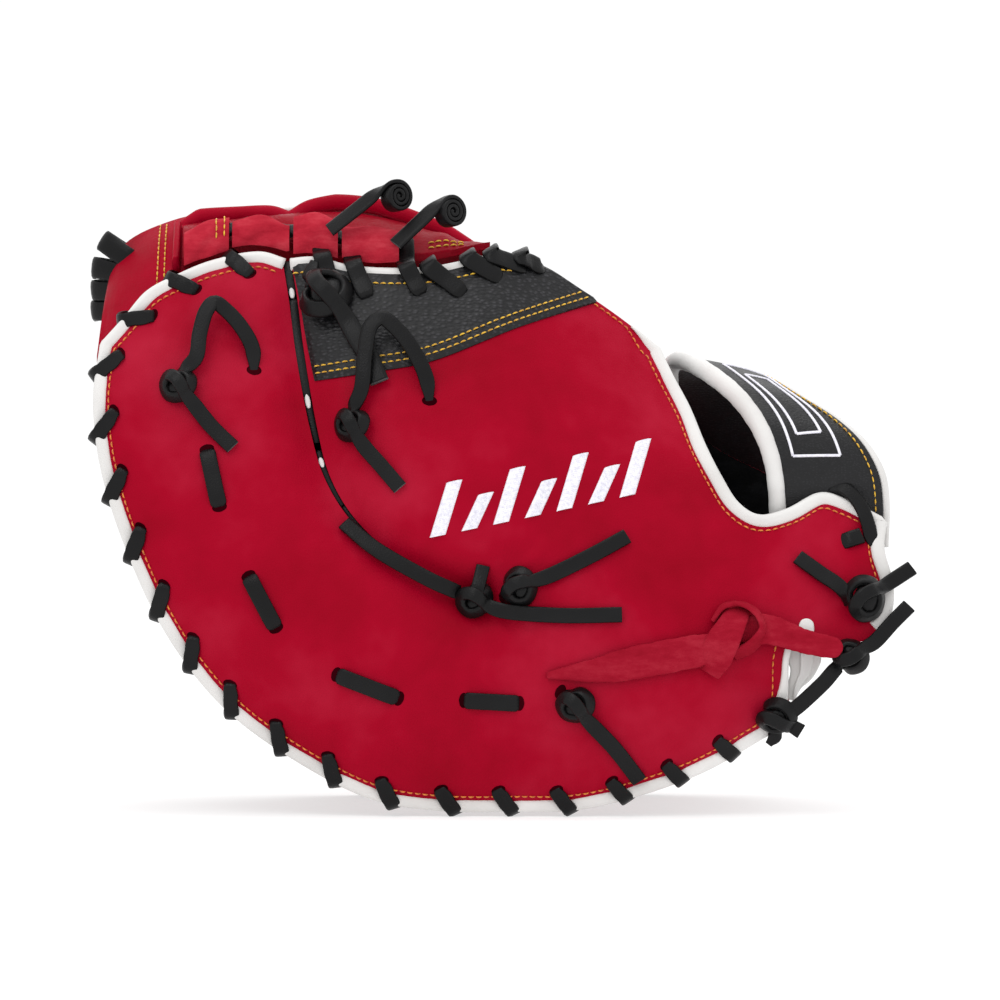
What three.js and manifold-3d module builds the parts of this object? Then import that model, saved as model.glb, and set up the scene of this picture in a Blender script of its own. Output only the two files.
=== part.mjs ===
// First baseman mitt that stands palm down on its two laced edges.
// Millimetres, +Z up, X to the right of the finger side's view, -Y towards its viewer.
import * as THREE from 'three';
import Module from 'manifold-3d';

const wasm = await Module();
wasm.setup();
const { Manifold, Mesh } = wasm;

// Overall sizes
const LENGTH = 300;
const HEIGHT = 200;
const HALF_DEPTH = 66;

// Leather, padding and trim
const SHELL = 2.2;
const PAD = 7;
const PAD_EDGE = 4.5;
const CLEAR = 0.35;
const BIND_WIDTH = 5;
const BIND_DEPTH = 4.2;
const LACE_WIDTH = 6.5;
const LACE_THICK = 1.7;
const HAND_ROOM = 17;
const SLIT_GAP = 3;
const ROLL_RADIUS = 4;
const STRAP_THICK = 3;

// Outlines seen from the finger side. x is a share of LENGTH, z a share of HEIGHT.
const EDGE = [
  { x: -0.482, z: 0.848 }, { x: -0.490, z: 0.747 }, { x: -0.480, z: 0.621 }, { x: -0.444, z: 0.459 },
  { x: -0.396, z: 0.315 }, { x: -0.330, z: 0.192 }, { x: -0.240, z: 0.094 }, { x: -0.150, z: 0.028 },
  { x: -0.070, z: 0.0095 }, { x: 0.020, z: 0.0085 }, { x: 0.080, z: 0.0095 }, { x: 0.130, z: 0.022 }, { x: 0.240, z: 0.076 },
  { x: 0.324, z: 0.146 },
];
const TIP_EDGE = [
  { x: -0.482, z: 0.848 }, { x: -0.455, z: 0.893 }, { x: -0.427, z: 0.942 }, { x: -0.390, z: 0.972 },
  { x: -0.349, z: 0.997 }, { x: -0.290, z: 1.013 }, { x: -0.2585, z: 1.000 },
];
const SLIT = [
  { x: -0.2585, z: 1.000 }, { x: -0.250, z: 0.927 }, { x: -0.242, z: 0.837 }, { x: -0.224, z: 0.693 },
  { x: -0.208, z: 0.610 }, { x: -0.178, z: 0.536 }, { x: -0.120, z: 0.459 }, { x: -0.026, z: 0.387 },
  { x: 0.100, z: 0.340 }, { x: 0.240, z: 0.325 }, { x: 0.362, z: 0.352 },
];
const TOP_EDGE = [
  { x: -0.2585, z: 1.000 }, { x: -0.223, z: 1.004 }, { x: -0.178, z: 0.988 }, { x: -0.086, z: 0.986 },
  { x: 0.000, z: 1.008 }, { x: 0.052, z: 0.990 }, { x: 0.103, z: 0.940 }, { x: 0.143, z: 0.898 },
  { x: 0.194, z: 0.838 },
];
const OPENING = [
  { x: 0.194, z: 0.838 }, { x: 0.205, z: 0.780 }, { x: 0.224, z: 0.722 }, { x: 0.242, z: 0.655 },
  { x: 0.262, z: 0.596 }, { x: 0.281, z: 0.552 }, { x: 0.305, z: 0.531 }, { x: 0.340, z: 0.542 },
  { x: 0.384, z: 0.572 }, { x: 0.416, z: 0.560 }, { x: 0.466, z: 0.531 },
];
const HEEL = [
  { x: 0.324, z: 0.146 }, { x: 0.343, z: 0.200 }, { x: 0.347, z: 0.290 }, { x: 0.362, z: 0.352 },
];
const TAB = [
  { x: 0.362, z: 0.352 }, { x: 0.400, z: 0.322 }, { x: 0.436, z: 0.312 }, { x: 0.466, z: 0.350 },
  { x: 0.473, z: 0.410 }, { x: 0.462, z: 0.480 }, { x: 0.466, z: 0.531 },
];
const SLIT_END = 0.565;

// Thumb half, seen from the same side
const THUMB_LOW = [
  { x: -0.482, z: 0.900 }, { x: -0.478, z: 0.750 }, { x: -0.455, z: 0.570 }, { x: -0.410, z: 0.390 },
  { x: -0.330, z: 0.215 }, { x: -0.235, z: 0.068 }, { x: -0.165, z: 0.011 }, { x: 0.000, z: 0.0085 },
  { x: 0.150, z: 0.010 }, { x: 0.260, z: 0.075 }, { x: 0.335, z: 0.170 },
];
const THUMB_TOP = [
  { x: -0.482, z: 0.900 }, { x: -0.466, z: 1.010 }, { x: -0.400, z: 1.065 }, { x: -0.310, z: 1.085 },
  { x: -0.184, z: 1.095 }, { x: -0.080, z: 1.060 }, { x: 0.000, z: 1.012 }, { x: 0.052, z: 0.990 },
  { x: 0.103, z: 0.940 }, { x: 0.143, z: 0.898 }, { x: 0.180, z: 0.840 }, { x: 0.210, z: 0.740 },
  { x: 0.260, z: 0.660 }, { x: 0.335, z: 0.600 },
];

// How far each half stands from the middle plane. Depths are shares of HALF_DEPTH.
const FINGER_DEPTH = [
  { x: -0.50, low: 0.66, top: 0.33 }, { x: -0.33, low: 0.80, top: 0.31 }, { x: -0.13, low: 0.93, top: 0.29 },
  { x: 0.00, low: 0.94, top: 0.24 }, { x: 0.10, low: 0.94, top: 0.09 }, { x: 0.20, low: 0.93, top: 0.05 },
  { x: 0.34, low: 0.80, top: 0.05 }, { x: 0.48, low: 0.70, top: 0.05 },
];
const THUMB_DEPTH = [
  { x: -0.50, low: 0.62, top: 0.42 }, { x: -0.33, low: 0.82, top: 0.38 }, { x: -0.13, low: 1.00, top: 0.36 },
  { x: 0.00, low: 1.02, top: 0.26 }, { x: 0.10, low: 1.02, top: 0.08 }, { x: 0.20, low: 1.00, top: 0.05 },
  { x: 0.34, low: 0.84, top: 0.05 }, { x: 0.48, low: 0.70, top: 0.05 },
];
// Height at which each half reaches its top depth, a share of HEIGHT
const ROOF = [
  { x: -0.50, finger: 1.00, thumb: 1.08 }, { x: -0.18, finger: 1.00, thumb: 1.09 },
  { x: 0.00, finger: 1.015, thumb: 1.02 }, { x: 0.10, finger: 0.95, thumb: 0.95 },
  { x: 0.20, finger: 0.83, thumb: 0.83 }, { x: 0.48, finger: 0.75, thumb: 0.75 },
];
// Underside of the hand's room: height of the palm's shoulder and of its middle
const PALM_ARCH = [
  { x: 0.00, shoulder: 0.97, middle: 0.985 }, { x: 0.07, shoulder: 0.78, middle: 0.83 },
  { x: 0.16, shoulder: 0.52, middle: 0.57 }, { x: 0.27, shoulder: 0.36, middle: 0.41 },
  { x: 0.36, shoulder: 0.31, middle: 0.36 },
];
const CROTCH = 0.012 * LENGTH;

// Vectors
const add = (a, b) => [a[0] + b[0], a[1] + b[1], a[2] + b[2]];
const sub = (a, b) => [a[0] - b[0], a[1] - b[1], a[2] - b[2]];
const mul = (a, k) => [a[0] * k, a[1] * k, a[2] * k];
const dot = (a, b) => a[0] * b[0] + a[1] * b[1] + a[2] * b[2];
const cross = (a, b) => [a[1] * b[2] - a[2] * b[1], a[2] * b[0] - a[0] * b[2], a[0] * b[1] - a[1] * b[0]];
const unit = (a) => mul(a, 1 / (Math.hypot(a[0], a[1], a[2]) || 1));
const mix = (a, b, t) => a + (b - a) * t;
const clamp = (v, lo, hi) => Math.min(hi, Math.max(lo, v));
const smooth = (lo, hi, v) => {
  const t = clamp((v - lo) / (hi - lo), 0, 1);
  return t * t * (3 - 2 * t);
};

// A value that varies along x, read from a table and rounded over its rows
function along(table, key, x) {
  const read = (v) => {
    const u = clamp(v / LENGTH, table[0].x, table[table.length - 1].x);
    let i = 0;
    while (i < table.length - 2 && table[i + 1].x < u) i += 1;
    const t = (u - table[i].x) / (table[i + 1].x - table[i].x);
    return mix(table[i][key], table[i + 1][key], t);
  };
  return (read(x - 8) + 2 * read(x) + read(x + 8)) / 4;
}

// A smooth outline through a table's rows, as n + 1 points in millimetres
function trace(table, n) {
  const points = table.map((r) => new THREE.Vector3(r.x * LENGTH, 0, r.z * HEIGHT));
  const curve = new THREE.CatmullRomCurve3(points, false, 'centripetal');
  curve.arcLengthDivisions = 400;
  return curve.getSpacedPoints(n).map((p) => [p.x, 0, p.z]);
}
const N_OUT = 120;
const edgeLine = trace(EDGE, N_OUT);
const tipLine = trace(TIP_EDGE, N_OUT);
const slitLine = trace(SLIT, N_OUT);
const topLine = trace(TOP_EDGE, N_OUT);
const openLine = trace(OPENING, N_OUT);
const heelLine = trace(HEEL, N_OUT);
const tabLine = trace(TAB, N_OUT);
const thumbLow = trace(THUMB_LOW, N_OUT);
const thumbTop = trace(THUMB_TOP, N_OUT);

const at = (line, t) => {
  const v = clamp(t, 0, 1) * (line.length - 1);
  const i = Math.min(Math.floor(v), line.length - 2);
  const f = v - i;
  return [mix(line[i][0], line[i + 1][0], f), 0, mix(line[i][2], line[i + 1][2], f)];
};
const distance = (line, x, z) => {
  let best = 1e9;
  for (let i = 0; i < line.length - 1; i += 1) {
    const [ax, , az] = line[i];
    const bx = line[i + 1][0] - ax;
    const bz = line[i + 1][2] - az;
    const t = clamp(((x - ax) * bx + (z - az) * bz) / (bx * bx + bz * bz || 1), 0, 1);
    best = Math.min(best, Math.hypot(x - ax - t * bx, z - az - t * bz));
  }
  return best;
};
const openSlit = slitLine.slice(0, Math.round(SLIT_END * N_OUT));

// Depth of the finger side's outer face at (x, z), seen from its side
function fingerFace(x, z) {
  const q = clamp(z / (along(ROOF, 'finger', x) * HEIGHT), 0, 1.06);
  const rise = Math.pow(q, 2.2);
  const low = along(FINGER_DEPTH, 'low', x) * HALF_DEPTH;
  const top = along(FINGER_DEPTH, 'top', x) * HALF_DEPTH;
  const flat = low * (1 - rise) + top * rise + 11 * Math.sin(Math.PI * Math.min(q, 1));
  const slit = distance(openSlit, x, z);
  const rim = Math.min(distance(edgeLine, x, z), distance(tipLine, x, z));
  const pad = 4 * (1 - Math.exp(-slit * slit / 500)) * (1 - Math.exp(-rim * rim / 400));
  const valley = 4.5 * Math.exp(-slit * slit / 60) * smooth(0, 30, HEIGHT - z);
  return -(flat + pad - valley - 3 * Math.exp(-rim * rim / 50));
}
// Depth of the thumb side's outer face
function thumbFace(x, z) {
  const q = clamp(z / (along(ROOF, 'thumb', x) * HEIGHT), 0, 1.06);
  const rise = Math.pow(q, 2.2);
  const low = along(THUMB_DEPTH, 'low', x) * HALF_DEPTH;
  const top = along(THUMB_DEPTH, 'top', x) * HALF_DEPTH;
  const rim = Math.min(distance(thumbLow, x, z), x < 0 ? distance(thumbTop, x, z) : 1e3);
  const pad = 4 * (1 - Math.exp(-rim * rim / 400));
  return low * (1 - rise) + top * rise + 11 * Math.sin(Math.PI * Math.min(q, 1)) + pad
    - 3 * Math.exp(-rim * rim / 50);
}
// Room between a shell and the palm, closed along the laced edges
function room(x, z, rims) {
  let d = 1e9;
  for (const line of rims) d = Math.min(d, distance(line, x, z));
  const reach = mix(0.25, 1, smooth(-0.40 * LENGTH, -0.10 * LENGTH, x));
  return HAND_ROOM * reach * smooth(13, 44, d);
}
const fingerRims = [edgeLine, tipLine, topLine.slice(0, 62)];
const thumbRims = [thumbLow, thumbTop.slice(0, 66)];

// A closed body from triangles given by point keys
class Body {
  constructor() {
    this.points = [];
    this.faces = [];
  }

  point(p) {
    this.points.push(p);
    return this.points.length - 1;
  }

  quad(a, b, c, d) {
    this.faces.push([a, b, c], [a, c, d]);
  }

  geometry() {
    const flat = [];
    for (const f of this.faces) for (const i of f) flat.push(...this.points[i]);
    const g = new THREE.BufferGeometry();
    g.setAttribute('position', new THREE.Float32BufferAttribute(flat, 3));
    g.computeVertexNormals();
    return g;
  }
}

// A sheet of leather: two faces over a grid and walls round its border and holes
function sheet(ni, nj, face, back, keep = () => true) {
  const body = new Body();
  const key = (i, j) => i * (nj + 1) + j;
  const size = (ni + 1) * (nj + 1);
  for (let i = 0; i <= ni; i += 1) for (let j = 0; j <= nj; j += 1) body.point(face(i, j));
  for (let i = 0; i <= ni; i += 1) for (let j = 0; j <= nj; j += 1) body.point(back(i, j));
  const there = (i, j) => i >= 0 && j >= 0 && i < ni && j < nj && keep(i, j);
  for (let i = 0; i < ni; i += 1) {
    for (let j = 0; j < nj; j += 1) {
      if (!there(i, j)) continue;
      const a = key(i, j);
      const b = key(i + 1, j);
      const c = key(i + 1, j + 1);
      const d = key(i, j + 1);
      body.quad(a, b, c, d);
      body.quad(size + d, size + c, size + b, size + a);
      if (!there(i - 1, j)) body.quad(d, size + d, size + a, a);
      if (!there(i + 1, j)) body.quad(b, size + b, size + c, c);
      if (!there(i, j - 1)) body.quad(a, size + a, size + b, b);
      if (!there(i, j + 1)) body.quad(c, size + c, size + d, d);
    }
  }
  return body.geometry();
}

// A bar of given section swept along points; side is the direction of its width at each point
function bar(points, side, wide, thick, corners = 4) {
  const body = new Body();
  const n = points.length;
  const ring = [];
  for (let k = 0; k < corners; k += 1) {
    const a = (2 * Math.PI * (k + 0.5)) / corners;
    const r = corners === 4 ? Math.SQRT2 : 1;
    ring.push([Math.cos(a) * r * 0.5, Math.sin(a) * r * 0.5]);
  }
  for (let i = 0; i < n; i += 1) {
    const t = unit(sub(points[Math.min(i + 1, n - 1)], points[Math.max(i - 1, 0)]));
    const raw = typeof side === 'function' ? side(i) : side;
    const s = unit(sub(raw, mul(t, dot(raw, t))));
    const u = cross(t, s);
    const w = typeof wide === 'function' ? wide(i) : wide;
    const h = typeof thick === 'function' ? thick(i) : thick;
    for (const [c, d] of ring) body.point(add(points[i], add(mul(s, c * w), mul(u, d * h))));
  }
  for (let i = 0; i < n - 1; i += 1) {
    for (let k = 0; k < corners; k += 1) {
      const m = (k + 1) % corners;
      body.quad(i * corners + k, i * corners + m, (i + 1) * corners + m, (i + 1) * corners + k);
    }
  }
  for (let k = 1; k < corners - 1; k += 1) {
    body.faces.push([0, k + 1, k]);
    const e = (n - 1) * corners;
    body.faces.push([e, e + k, e + k + 1]);
  }
  return body.geometry();
}

// Welded copy of a geometry, turned so that it encloses a positive volume
function welded(g) {
  const p = g.getAttribute('position').array;
  const index = g.getIndex();
  const ids = new Map();
  const verts = [];
  const tris = [];
  const count = index ? index.count : p.length / 3;
  for (let n = 0; n < count; n += 1) {
    const i = 3 * (index ? index.getX(n) : n);
    const key = `${Math.round(p[i] * 1e4)} ${Math.round(p[i + 1] * 1e4)} ${Math.round(p[i + 2] * 1e4)}`;
    if (!ids.has(key)) {
      ids.set(key, verts.length / 3);
      verts.push(p[i], p[i + 1], p[i + 2]);
    }
    tris.push(ids.get(key));
  }
  const out = [];
  let volume = 0;
  for (let i = 0; i < tris.length; i += 3) {
    const [a, b, c] = [tris[i], tris[i + 1], tris[i + 2]];
    if (a === b || b === c || a === c) continue;
    out.push(a, b, c);
    const v = [a, b, c].map((k) => [verts[3 * k], verts[3 * k + 1], verts[3 * k + 2]]);
    volume += dot(v[0], cross(v[1], v[2]));
  }
  if (volume < 0) {
    for (let i = 0; i < out.length; i += 3) [out[i + 1], out[i + 2]] = [out[i + 2], out[i + 1]];
  }
  return { verts, tris: out };
}
function indexed({ verts, tris }) {
  const g = new THREE.BufferGeometry();
  g.setAttribute('position', new THREE.Float32BufferAttribute(verts, 3));
  g.setIndex(tris);
  g.computeVertexNormals();
  return g;
}
function solid(g) {
  const w = welded(g);
  return new Manifold(new Mesh({
    numProp: 3, vertProperties: new Float32Array(w.verts), triVerts: new Uint32Array(w.tris),
  }));
}
function fromSolid(m) {
  const mesh = m.getMesh();
  const g = new THREE.BufferGeometry();
  g.setAttribute('position', new THREE.Float32BufferAttribute(Array.from(mesh.vertProperties), 3));
  g.setIndex(Array.from(mesh.triVerts));
  return g;
}
// One body from overlapping bars, cut flat where it stands on the ground
function joined(...parts) {
  return fromSolid(Manifold.union(parts.map(solid)).trimByPlane([0, 0, 1], 0).simplify(0.06));
}

// The finger side's skin: a point at shares u of LENGTH and v of HEIGHT, lifted off the leather
const spot = (u, v, lift) => {
  const x = u * LENGTH;
  const z = v * HEIGHT;
  return [x, fingerFace(x, z) - lift, z];
};
const fingerNormal = (x, z) => {
  const e = 1.5;
  const dx = (fingerFace(x + e, z) - fingerFace(x - e, z)) / (2 * e);
  const dz = (fingerFace(x, z + e) - fingerFace(x, z - e)) / (2 * e);
  return unit([dx, -1, dz]);
};
// A lace that lies along the skin through the given rows, resampled to n + 1 points
function smoothPath(rows, n) {
  const curve = new THREE.CatmullRomCurve3(rows.map((r) => new THREE.Vector3(...r)), false, 'centripetal');
  return curve.getSpacedPoints(n).map((p) => [p.x, p.y, p.z]);
}
function ribbon(rows, n = 10, wide = LACE_WIDTH, thick = LACE_THICK) {
  const path = smoothPath(rows.map(([u, v, lift]) => spot(u, v, lift)), n);
  const side = (i) => {
    const t = unit(sub(path[Math.min(i + 1, n)], path[Math.max(i - 1, 0)]));
    return cross(t, fingerNormal(path[i][0], path[i][2]));
  };
  return bar(path, side, wide, thick);
}
function lump(centre, rx, ry, rz) {
  const g = new THREE.IcosahedronGeometry(1, 1);
  g.scale(rx, ry, rz);
  g.rotateY(0.4);
  g.translate(...centre);
  return g;
}

const mitt = new THREE.Group();
mitt.name = 'first_baseman_mitt';
const LOOKS = {
  red_leather: { color: 0xa8122c, roughness: 0.45, metalness: 0 },
  red_suede: { color: 0xb0283c, roughness: 0.95, metalness: 0 },
  black_leather: { color: 0x18181a, roughness: 0.5, metalness: 0 },
  black_lace: { color: 0x121214, roughness: 0.38, metalness: 0 },
  white_leather: { color: 0xeeeeec, roughness: 0.5, metalness: 0 },
  lining: { color: 0x1a1a1c, roughness: 0.95, metalness: 0 },
};
function piece(name, geometry, look) {
  const mesh = new THREE.Mesh(indexed(welded(geometry)), new THREE.MeshStandardMaterial(LOOKS[look]));
  mesh.name = name;
  mesh.material.name = look;
  mitt.add(mesh);
  return mesh;
}

// Finger side's shell: two patches that share the slit's line, one grid with a gap for the slit
const INSET = BIND_WIDTH + 0.8;
const patch = (a, b, first, last, s, t) => {
  const [p, q, u, v] = [at(a, s), at(b, s), at(first, t), at(last, t)];
  const [p0, p1, q0, q1] = [at(a, 0), at(a, 1), at(b, 0), at(b, 1)];
  const one = (k) => (1 - t) * p[k] + t * q[k] + (1 - s) * u[k] + s * v[k]
    - ((1 - t) * ((1 - s) * p0[k] + s * p1[k]) + t * ((1 - s) * q0[k] + s * q1[k]));
  return [one(0), 0, one(2)];
};
const NS = 32;
const N_OUTER = 6;
const N_INNER = 8;
const gapOf = (a, b) => Math.hypot(a[0] - b[0], a[2] - b[2]);
function shellPoint(i, j) {
  const s = i / NS;
  const outer = j <= N_OUTER;
  if (outer) {
    const wide = gapOf(at(edgeLine, s), at(slitLine, s));
    const t = mix(INSET / wide, 1 - SLIT_GAP / 2 / wide, j / N_OUTER);
    const long = mix(345, 270, t);
    return patch(edgeLine, slitLine, tipLine, heelLine, mix(INSET / long, 1 - INSET / long, s), t);
  }
  const wide = gapOf(at(openLine, s), at(slitLine, s));
  const k = (j - N_OUTER - 1) / N_INNER;
  const t = mix(SLIT_GAP / 2 / wide, 1 - INSET / wide, k);
  const long = mix(270, 150, t);
  const bare = smooth(0.50, 0.56, k) * (1 - smooth(0.84, 0.90, k));
  return patch(slitLine, openLine, topLine, tabLine, mix(mix(INSET, 0.8, bare) / long, 1 - INSET / long, s), t);
}
// The laced edge as one path: slit's mouth, tip, outer edge, heel. Inward normal on its left.
const half = (line) => line.filter((p, i) => i % 2 === 0);
const edgePath = [...half(tipLine).reverse(), ...half(edgeLine).slice(1), ...half(heelLine).slice(1, 50)];
const topPath = [...half(topLine), ...half(openLine).slice(1), ...half(tabLine).reverse().slice(1, 45)];
const thumbPath = [...half(thumbTop.slice(0, 66)).reverse(), ...half(thumbLow).slice(1)];
function station(path, d) {
  let left = d;
  for (let i = 0; i < path.length - 1; i += 1) {
    const step = gapOf(path[i], path[i + 1]);
    if (left <= step || i === path.length - 2) {
      const f = left / step;
      const a = path[Math.max(i - 1, 0)];
      const b = path[Math.min(i + 2, path.length - 1)];
      const t = unit(sub(b, a));
      return { p: [mix(path[i][0], path[i + 1][0], f), 0, mix(path[i][2], path[i + 1][2], f)], t, n: [-t[2], 0, t[0]] };
    }
    left -= step;
  }
  return null;
}
function nearest(path, x, z) {
  let best = { d: 1e9 };
  let run = 0;
  for (let i = 0; i < path.length - 1; i += 1) {
    const [ax, , az] = path[i];
    const bx = path[i + 1][0] - ax;
    const bz = path[i + 1][2] - az;
    const t = clamp(((x - ax) * bx + (z - az) * bz) / (bx * bx + bz * bz || 1), 0, 1);
    const d = Math.hypot(x - ax - t * bx, z - az - t * bz);
    if (d < best.d) best = { d, run: run + t * Math.hypot(bx, bz) };
    run += Math.hypot(bx, bz);
  }
  return best;
}
// The shell's border nodes are set back from the outline by exactly the binding's room
const LAST = N_OUTER + N_INNER + 1;
function shellFace(i, j) {
  let [x, , z] = shellPoint(i, j);
  const outer = j <= N_OUTER;
  const nearNotch = i === NS && Math.abs(j - N_OUTER) < 3;
  if ((i === 0 || i === NS || j === 0 || j === LAST) && !nearNotch) {
    const path = outer ? edgePath : topPath;
    const s = station(path, nearest(path, x, z).run);
    const bare = !outer && i === 0 && s.p[0] > 3 && s.p[0] < 36;
    const d = (outer ? 1 : -1) * (bare ? 0.8 : INSET);
    const slitSide = i === 0 && (j === N_OUTER || j === N_OUTER + 1);
    if (!slitSide) x = s.p[0] + s.n[0] * d;
    z = slitSide ? Math.min(z, s.p[2] - INSET) : s.p[2] + s.n[2] * d;
  }
  return [x, fingerFace(x, z), z];
}
piece('finger_back_shell', sheet(NS, LAST, shellFace,
  (i, j) => add(shellFace(i, j), [0, SHELL, 0]),
  (i, j) => j !== N_OUTER || (i + 0.5) / NS > SLIT_END), 'red_leather');
const pathLength = (path) => path.slice(1).reduce((sum, p, i) => sum + gapOf(p, path[i]), 0);
function binding(path, from, to, n, side, face, offset) {
  const rows = [];
  for (let i = 0; i <= n; i += 1) {
    const { p, n: normal } = station(path, mix(from, to, i / n));
    const x = p[0] + side * normal[0] * BIND_WIDTH / 2;
    const z = p[2] + side * normal[2] * BIND_WIDTH / 2;
    rows.push({ q: [x, face(x, z) + offset, z], w: normal });
  }
  return bar(rows.map((r) => r.q), (i) => rows[i].w, BIND_WIDTH, BIND_DEPTH, 6);
}
const edgeLong = pathLength(edgePath);
const topLong = pathLength(topPath);
const thumbLong = pathLength(thumbPath);
piece('edge_binding', binding(edgePath, 0, edgeLong, 48, 1, fingerFace, 1.1), 'white_leather');
piece('top_binding', binding(topPath, 1.5, 78, 11, -1, fingerFace, 1.1), 'white_leather');
piece('opening_binding', binding(topPath, 134, topLong, 27, -1, fingerFace, 1.1), 'white_leather');

// Palm: stations along x, columns from the finger edge over the hand's underside to the thumb edge
const inset = (line, side, d) => line.map((p, i) => {
  const t = unit(sub(line[Math.min(i + 1, line.length - 1)], line[Math.max(i - 1, 0)]));
  return [p[0] - side * t[2] * d, 0, p[2] + side * t[0] * d];
});
const heightAt = (line, x) => {
  let z = line[x > line[0][0] ? line.length - 1 : 0][2];
  for (let i = 0; i < line.length - 1; i += 1) {
    const [a, b] = [line[i], line[i + 1]];
    if ((a[0] - x) * (b[0] - x) <= 0 && a[0] !== b[0]) z = mix(a[2], b[2], (x - a[0]) / (b[0] - a[0]));
  }
  return z;
};
const widest = edgeLine.reduce((k, p, i) => (p[0] < edgeLine[k][0] ? i : k), 0);
const fingerLow = inset([...edgeLine.slice(widest), ...heelLine.slice(6, 50)], 1, 1.7);
const fingerUp = inset([...edgeLine.slice(0, widest + 1).reverse(), ...tipLine.slice(1), ...topLine.slice(1)], -1, 1.7);
const farLow = inset(thumbLow, 1, 1.7);
const farUp = inset(thumbTop, -1, 1.7);
const NX = 25;
const N_LEG = 7;
const N_MID = 5;
const N_ARCH = 2 * N_LEG + N_MID;
const X_LEFT = fingerLow[0][0] + 0.6;
const X_RIGHT = 0.343 * LENGTH;
const farLeft = Math.min(...farLow.map((p) => p[0])) + 0.6;
const palmX = (i) => mix(X_LEFT, X_RIGHT, mix(i / NX, 1 - Math.cos(Math.PI * 0.5 * i / NX), 0.35));
const crotchRow = Array.from({ length: NX + 1 }, (_, i) => palmX(i)).findIndex((x) => x > CROTCH);
const palmGrid = [];
for (let i = 0; i <= NX; i += 1) {
  const x = palmX(i);
  const xFar = x + 3 * (1 - smooth(X_LEFT, X_LEFT + 30, x));
  const lo = heightAt(fingerLow, x);
  const under = smooth(CROTCH - 6, CROTCH + 6, x);
  const shoulder = along(PALM_ARCH, 'shoulder', x) * HEIGHT;
  const middle = along(PALM_ARCH, 'middle', x) * HEIGHT;
  const hi = mix(heightAt(fingerUp, x), shoulder, under);
  const loFar = heightAt(farLow, Math.max(xFar, farLeft));
  const hiFar = mix(heightAt(farUp, Math.max(xFar, farLeft)), shoulder, under);
  const row = [];
  const leg = (low, high, k, face, sign, rims) => {
    const z = mix(low, high, k);
    return [sign > 0 ? x : xFar, face(x, z) + sign * (SHELL + (sign > 0 ? 1.9 : 2.6) + room(x, z, rims)), z];
  };
  for (let j = 0; j <= N_LEG; j += 1) row.push(leg(lo, hi, (j / N_LEG) ** 1.45, fingerFace, 1, fingerRims));
  const far = [];
  for (let j = 0; j <= N_LEG; j += 1) far.push(leg(loFar, hiFar, (1 - j / N_LEG) ** 1.45, thumbFace, -1, thumbRims));
  for (let j = 1; j < N_MID; j += 1) {
    const k = j / N_MID;
    const z = mix(row[N_LEG][2], far[0][2], k) + (middle - shoulder) * under * Math.sin(Math.PI * k);
    row.push([x, mix(row[N_LEG][1], far[0][1], k), z]);
  }
  palmGrid.push([...row, ...far]);
}
const palmNormal = (i, j) => {
  const open = palmX(i) < CROTCH;
  const lo = open && j > N_LEG && j >= N_LEG + N_MID ? N_LEG + N_MID : 0;
  const hi = open && j <= N_LEG ? N_LEG : N_ARCH;
  const a = palmGrid[i][Math.max(j - 1, lo)];
  const b = palmGrid[i][Math.min(j + 1, hi)];
  const c = palmGrid[Math.max(i - 1, 0)][j];
  const d = palmGrid[Math.min(i + 1, NX)][j];
  return unit(cross(sub(d, c), sub(b, a)));
};
const palmThick = (i, j) => {
  const leg = Math.min(j, N_ARCH - j);
  const [x, , z] = palmGrid[i][j];
  const rims = j <= N_ARCH / 2 ? fingerRims : thumbRims;
  const d = Math.min(...rims.map((line) => distance(line, x, z)));
  return leg > N_LEG ? PAD : mix(PAD_EDGE, PAD, smooth(2, 22, d));
};
const palmBack = (i, j) => add(palmGrid[i][j], mul(palmNormal(i, j), -palmThick(i, j)));
const palmKeep = (i, j) => i >= crotchRow || j < N_LEG || j >= N_LEG + N_MID;
piece('palm_pad', sheet(NX, N_ARCH, (i, j) => palmGrid[i][j], palmBack, palmKeep), 'red_leather');

// Black lining on the hand's side of the palm
const LIN0 = crotchRow + 4;
const linLift = (i, j, k) => add(palmGrid[i][j], mul(palmNormal(i, j), k));
piece('hand_lining', sheet(NX - LIN0, N_MID + 2,
  (i, j) => linLift(i + LIN0, j + N_LEG - 1, 3.0),
  (i, j) => linLift(i + LIN0, j + N_LEG - 1, 1.8)), 'lining');

// Thumb side's shell
const farLowIn = inset(thumbLow, 1, INSET);
const farUpIn = thumbTop.map((p, i) => inset(thumbTop, -1, mix(INSET, 0.8, smooth(60, 68, i)))[i]);
const NT = 24;
const NU = 9;
const tLeft = Math.min(...farLowIn.map((p) => p[0])) + 0.5;
const thumbPoint = (i, j) => {
  const x = mix(tLeft, 0.333 * LENGTH, mix(i / NT, 1 - Math.cos(Math.PI * 0.5 * i / NT), 0.4));
  const z = mix(heightAt(farLowIn, x), heightAt(farUpIn, x), j / NU);
  return [x, thumbFace(x, z), z];
};
piece('thumb_back_shell', sheet(NT, NU, thumbPoint, (i, j) => add(thumbPoint(i, j), [0, -SHELL, 0])), 'red_leather');
piece('thumb_binding', binding(thumbPath, 46, thumbLong - 5, 34, 1, thumbFace, -1.1), 'white_leather');


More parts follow.
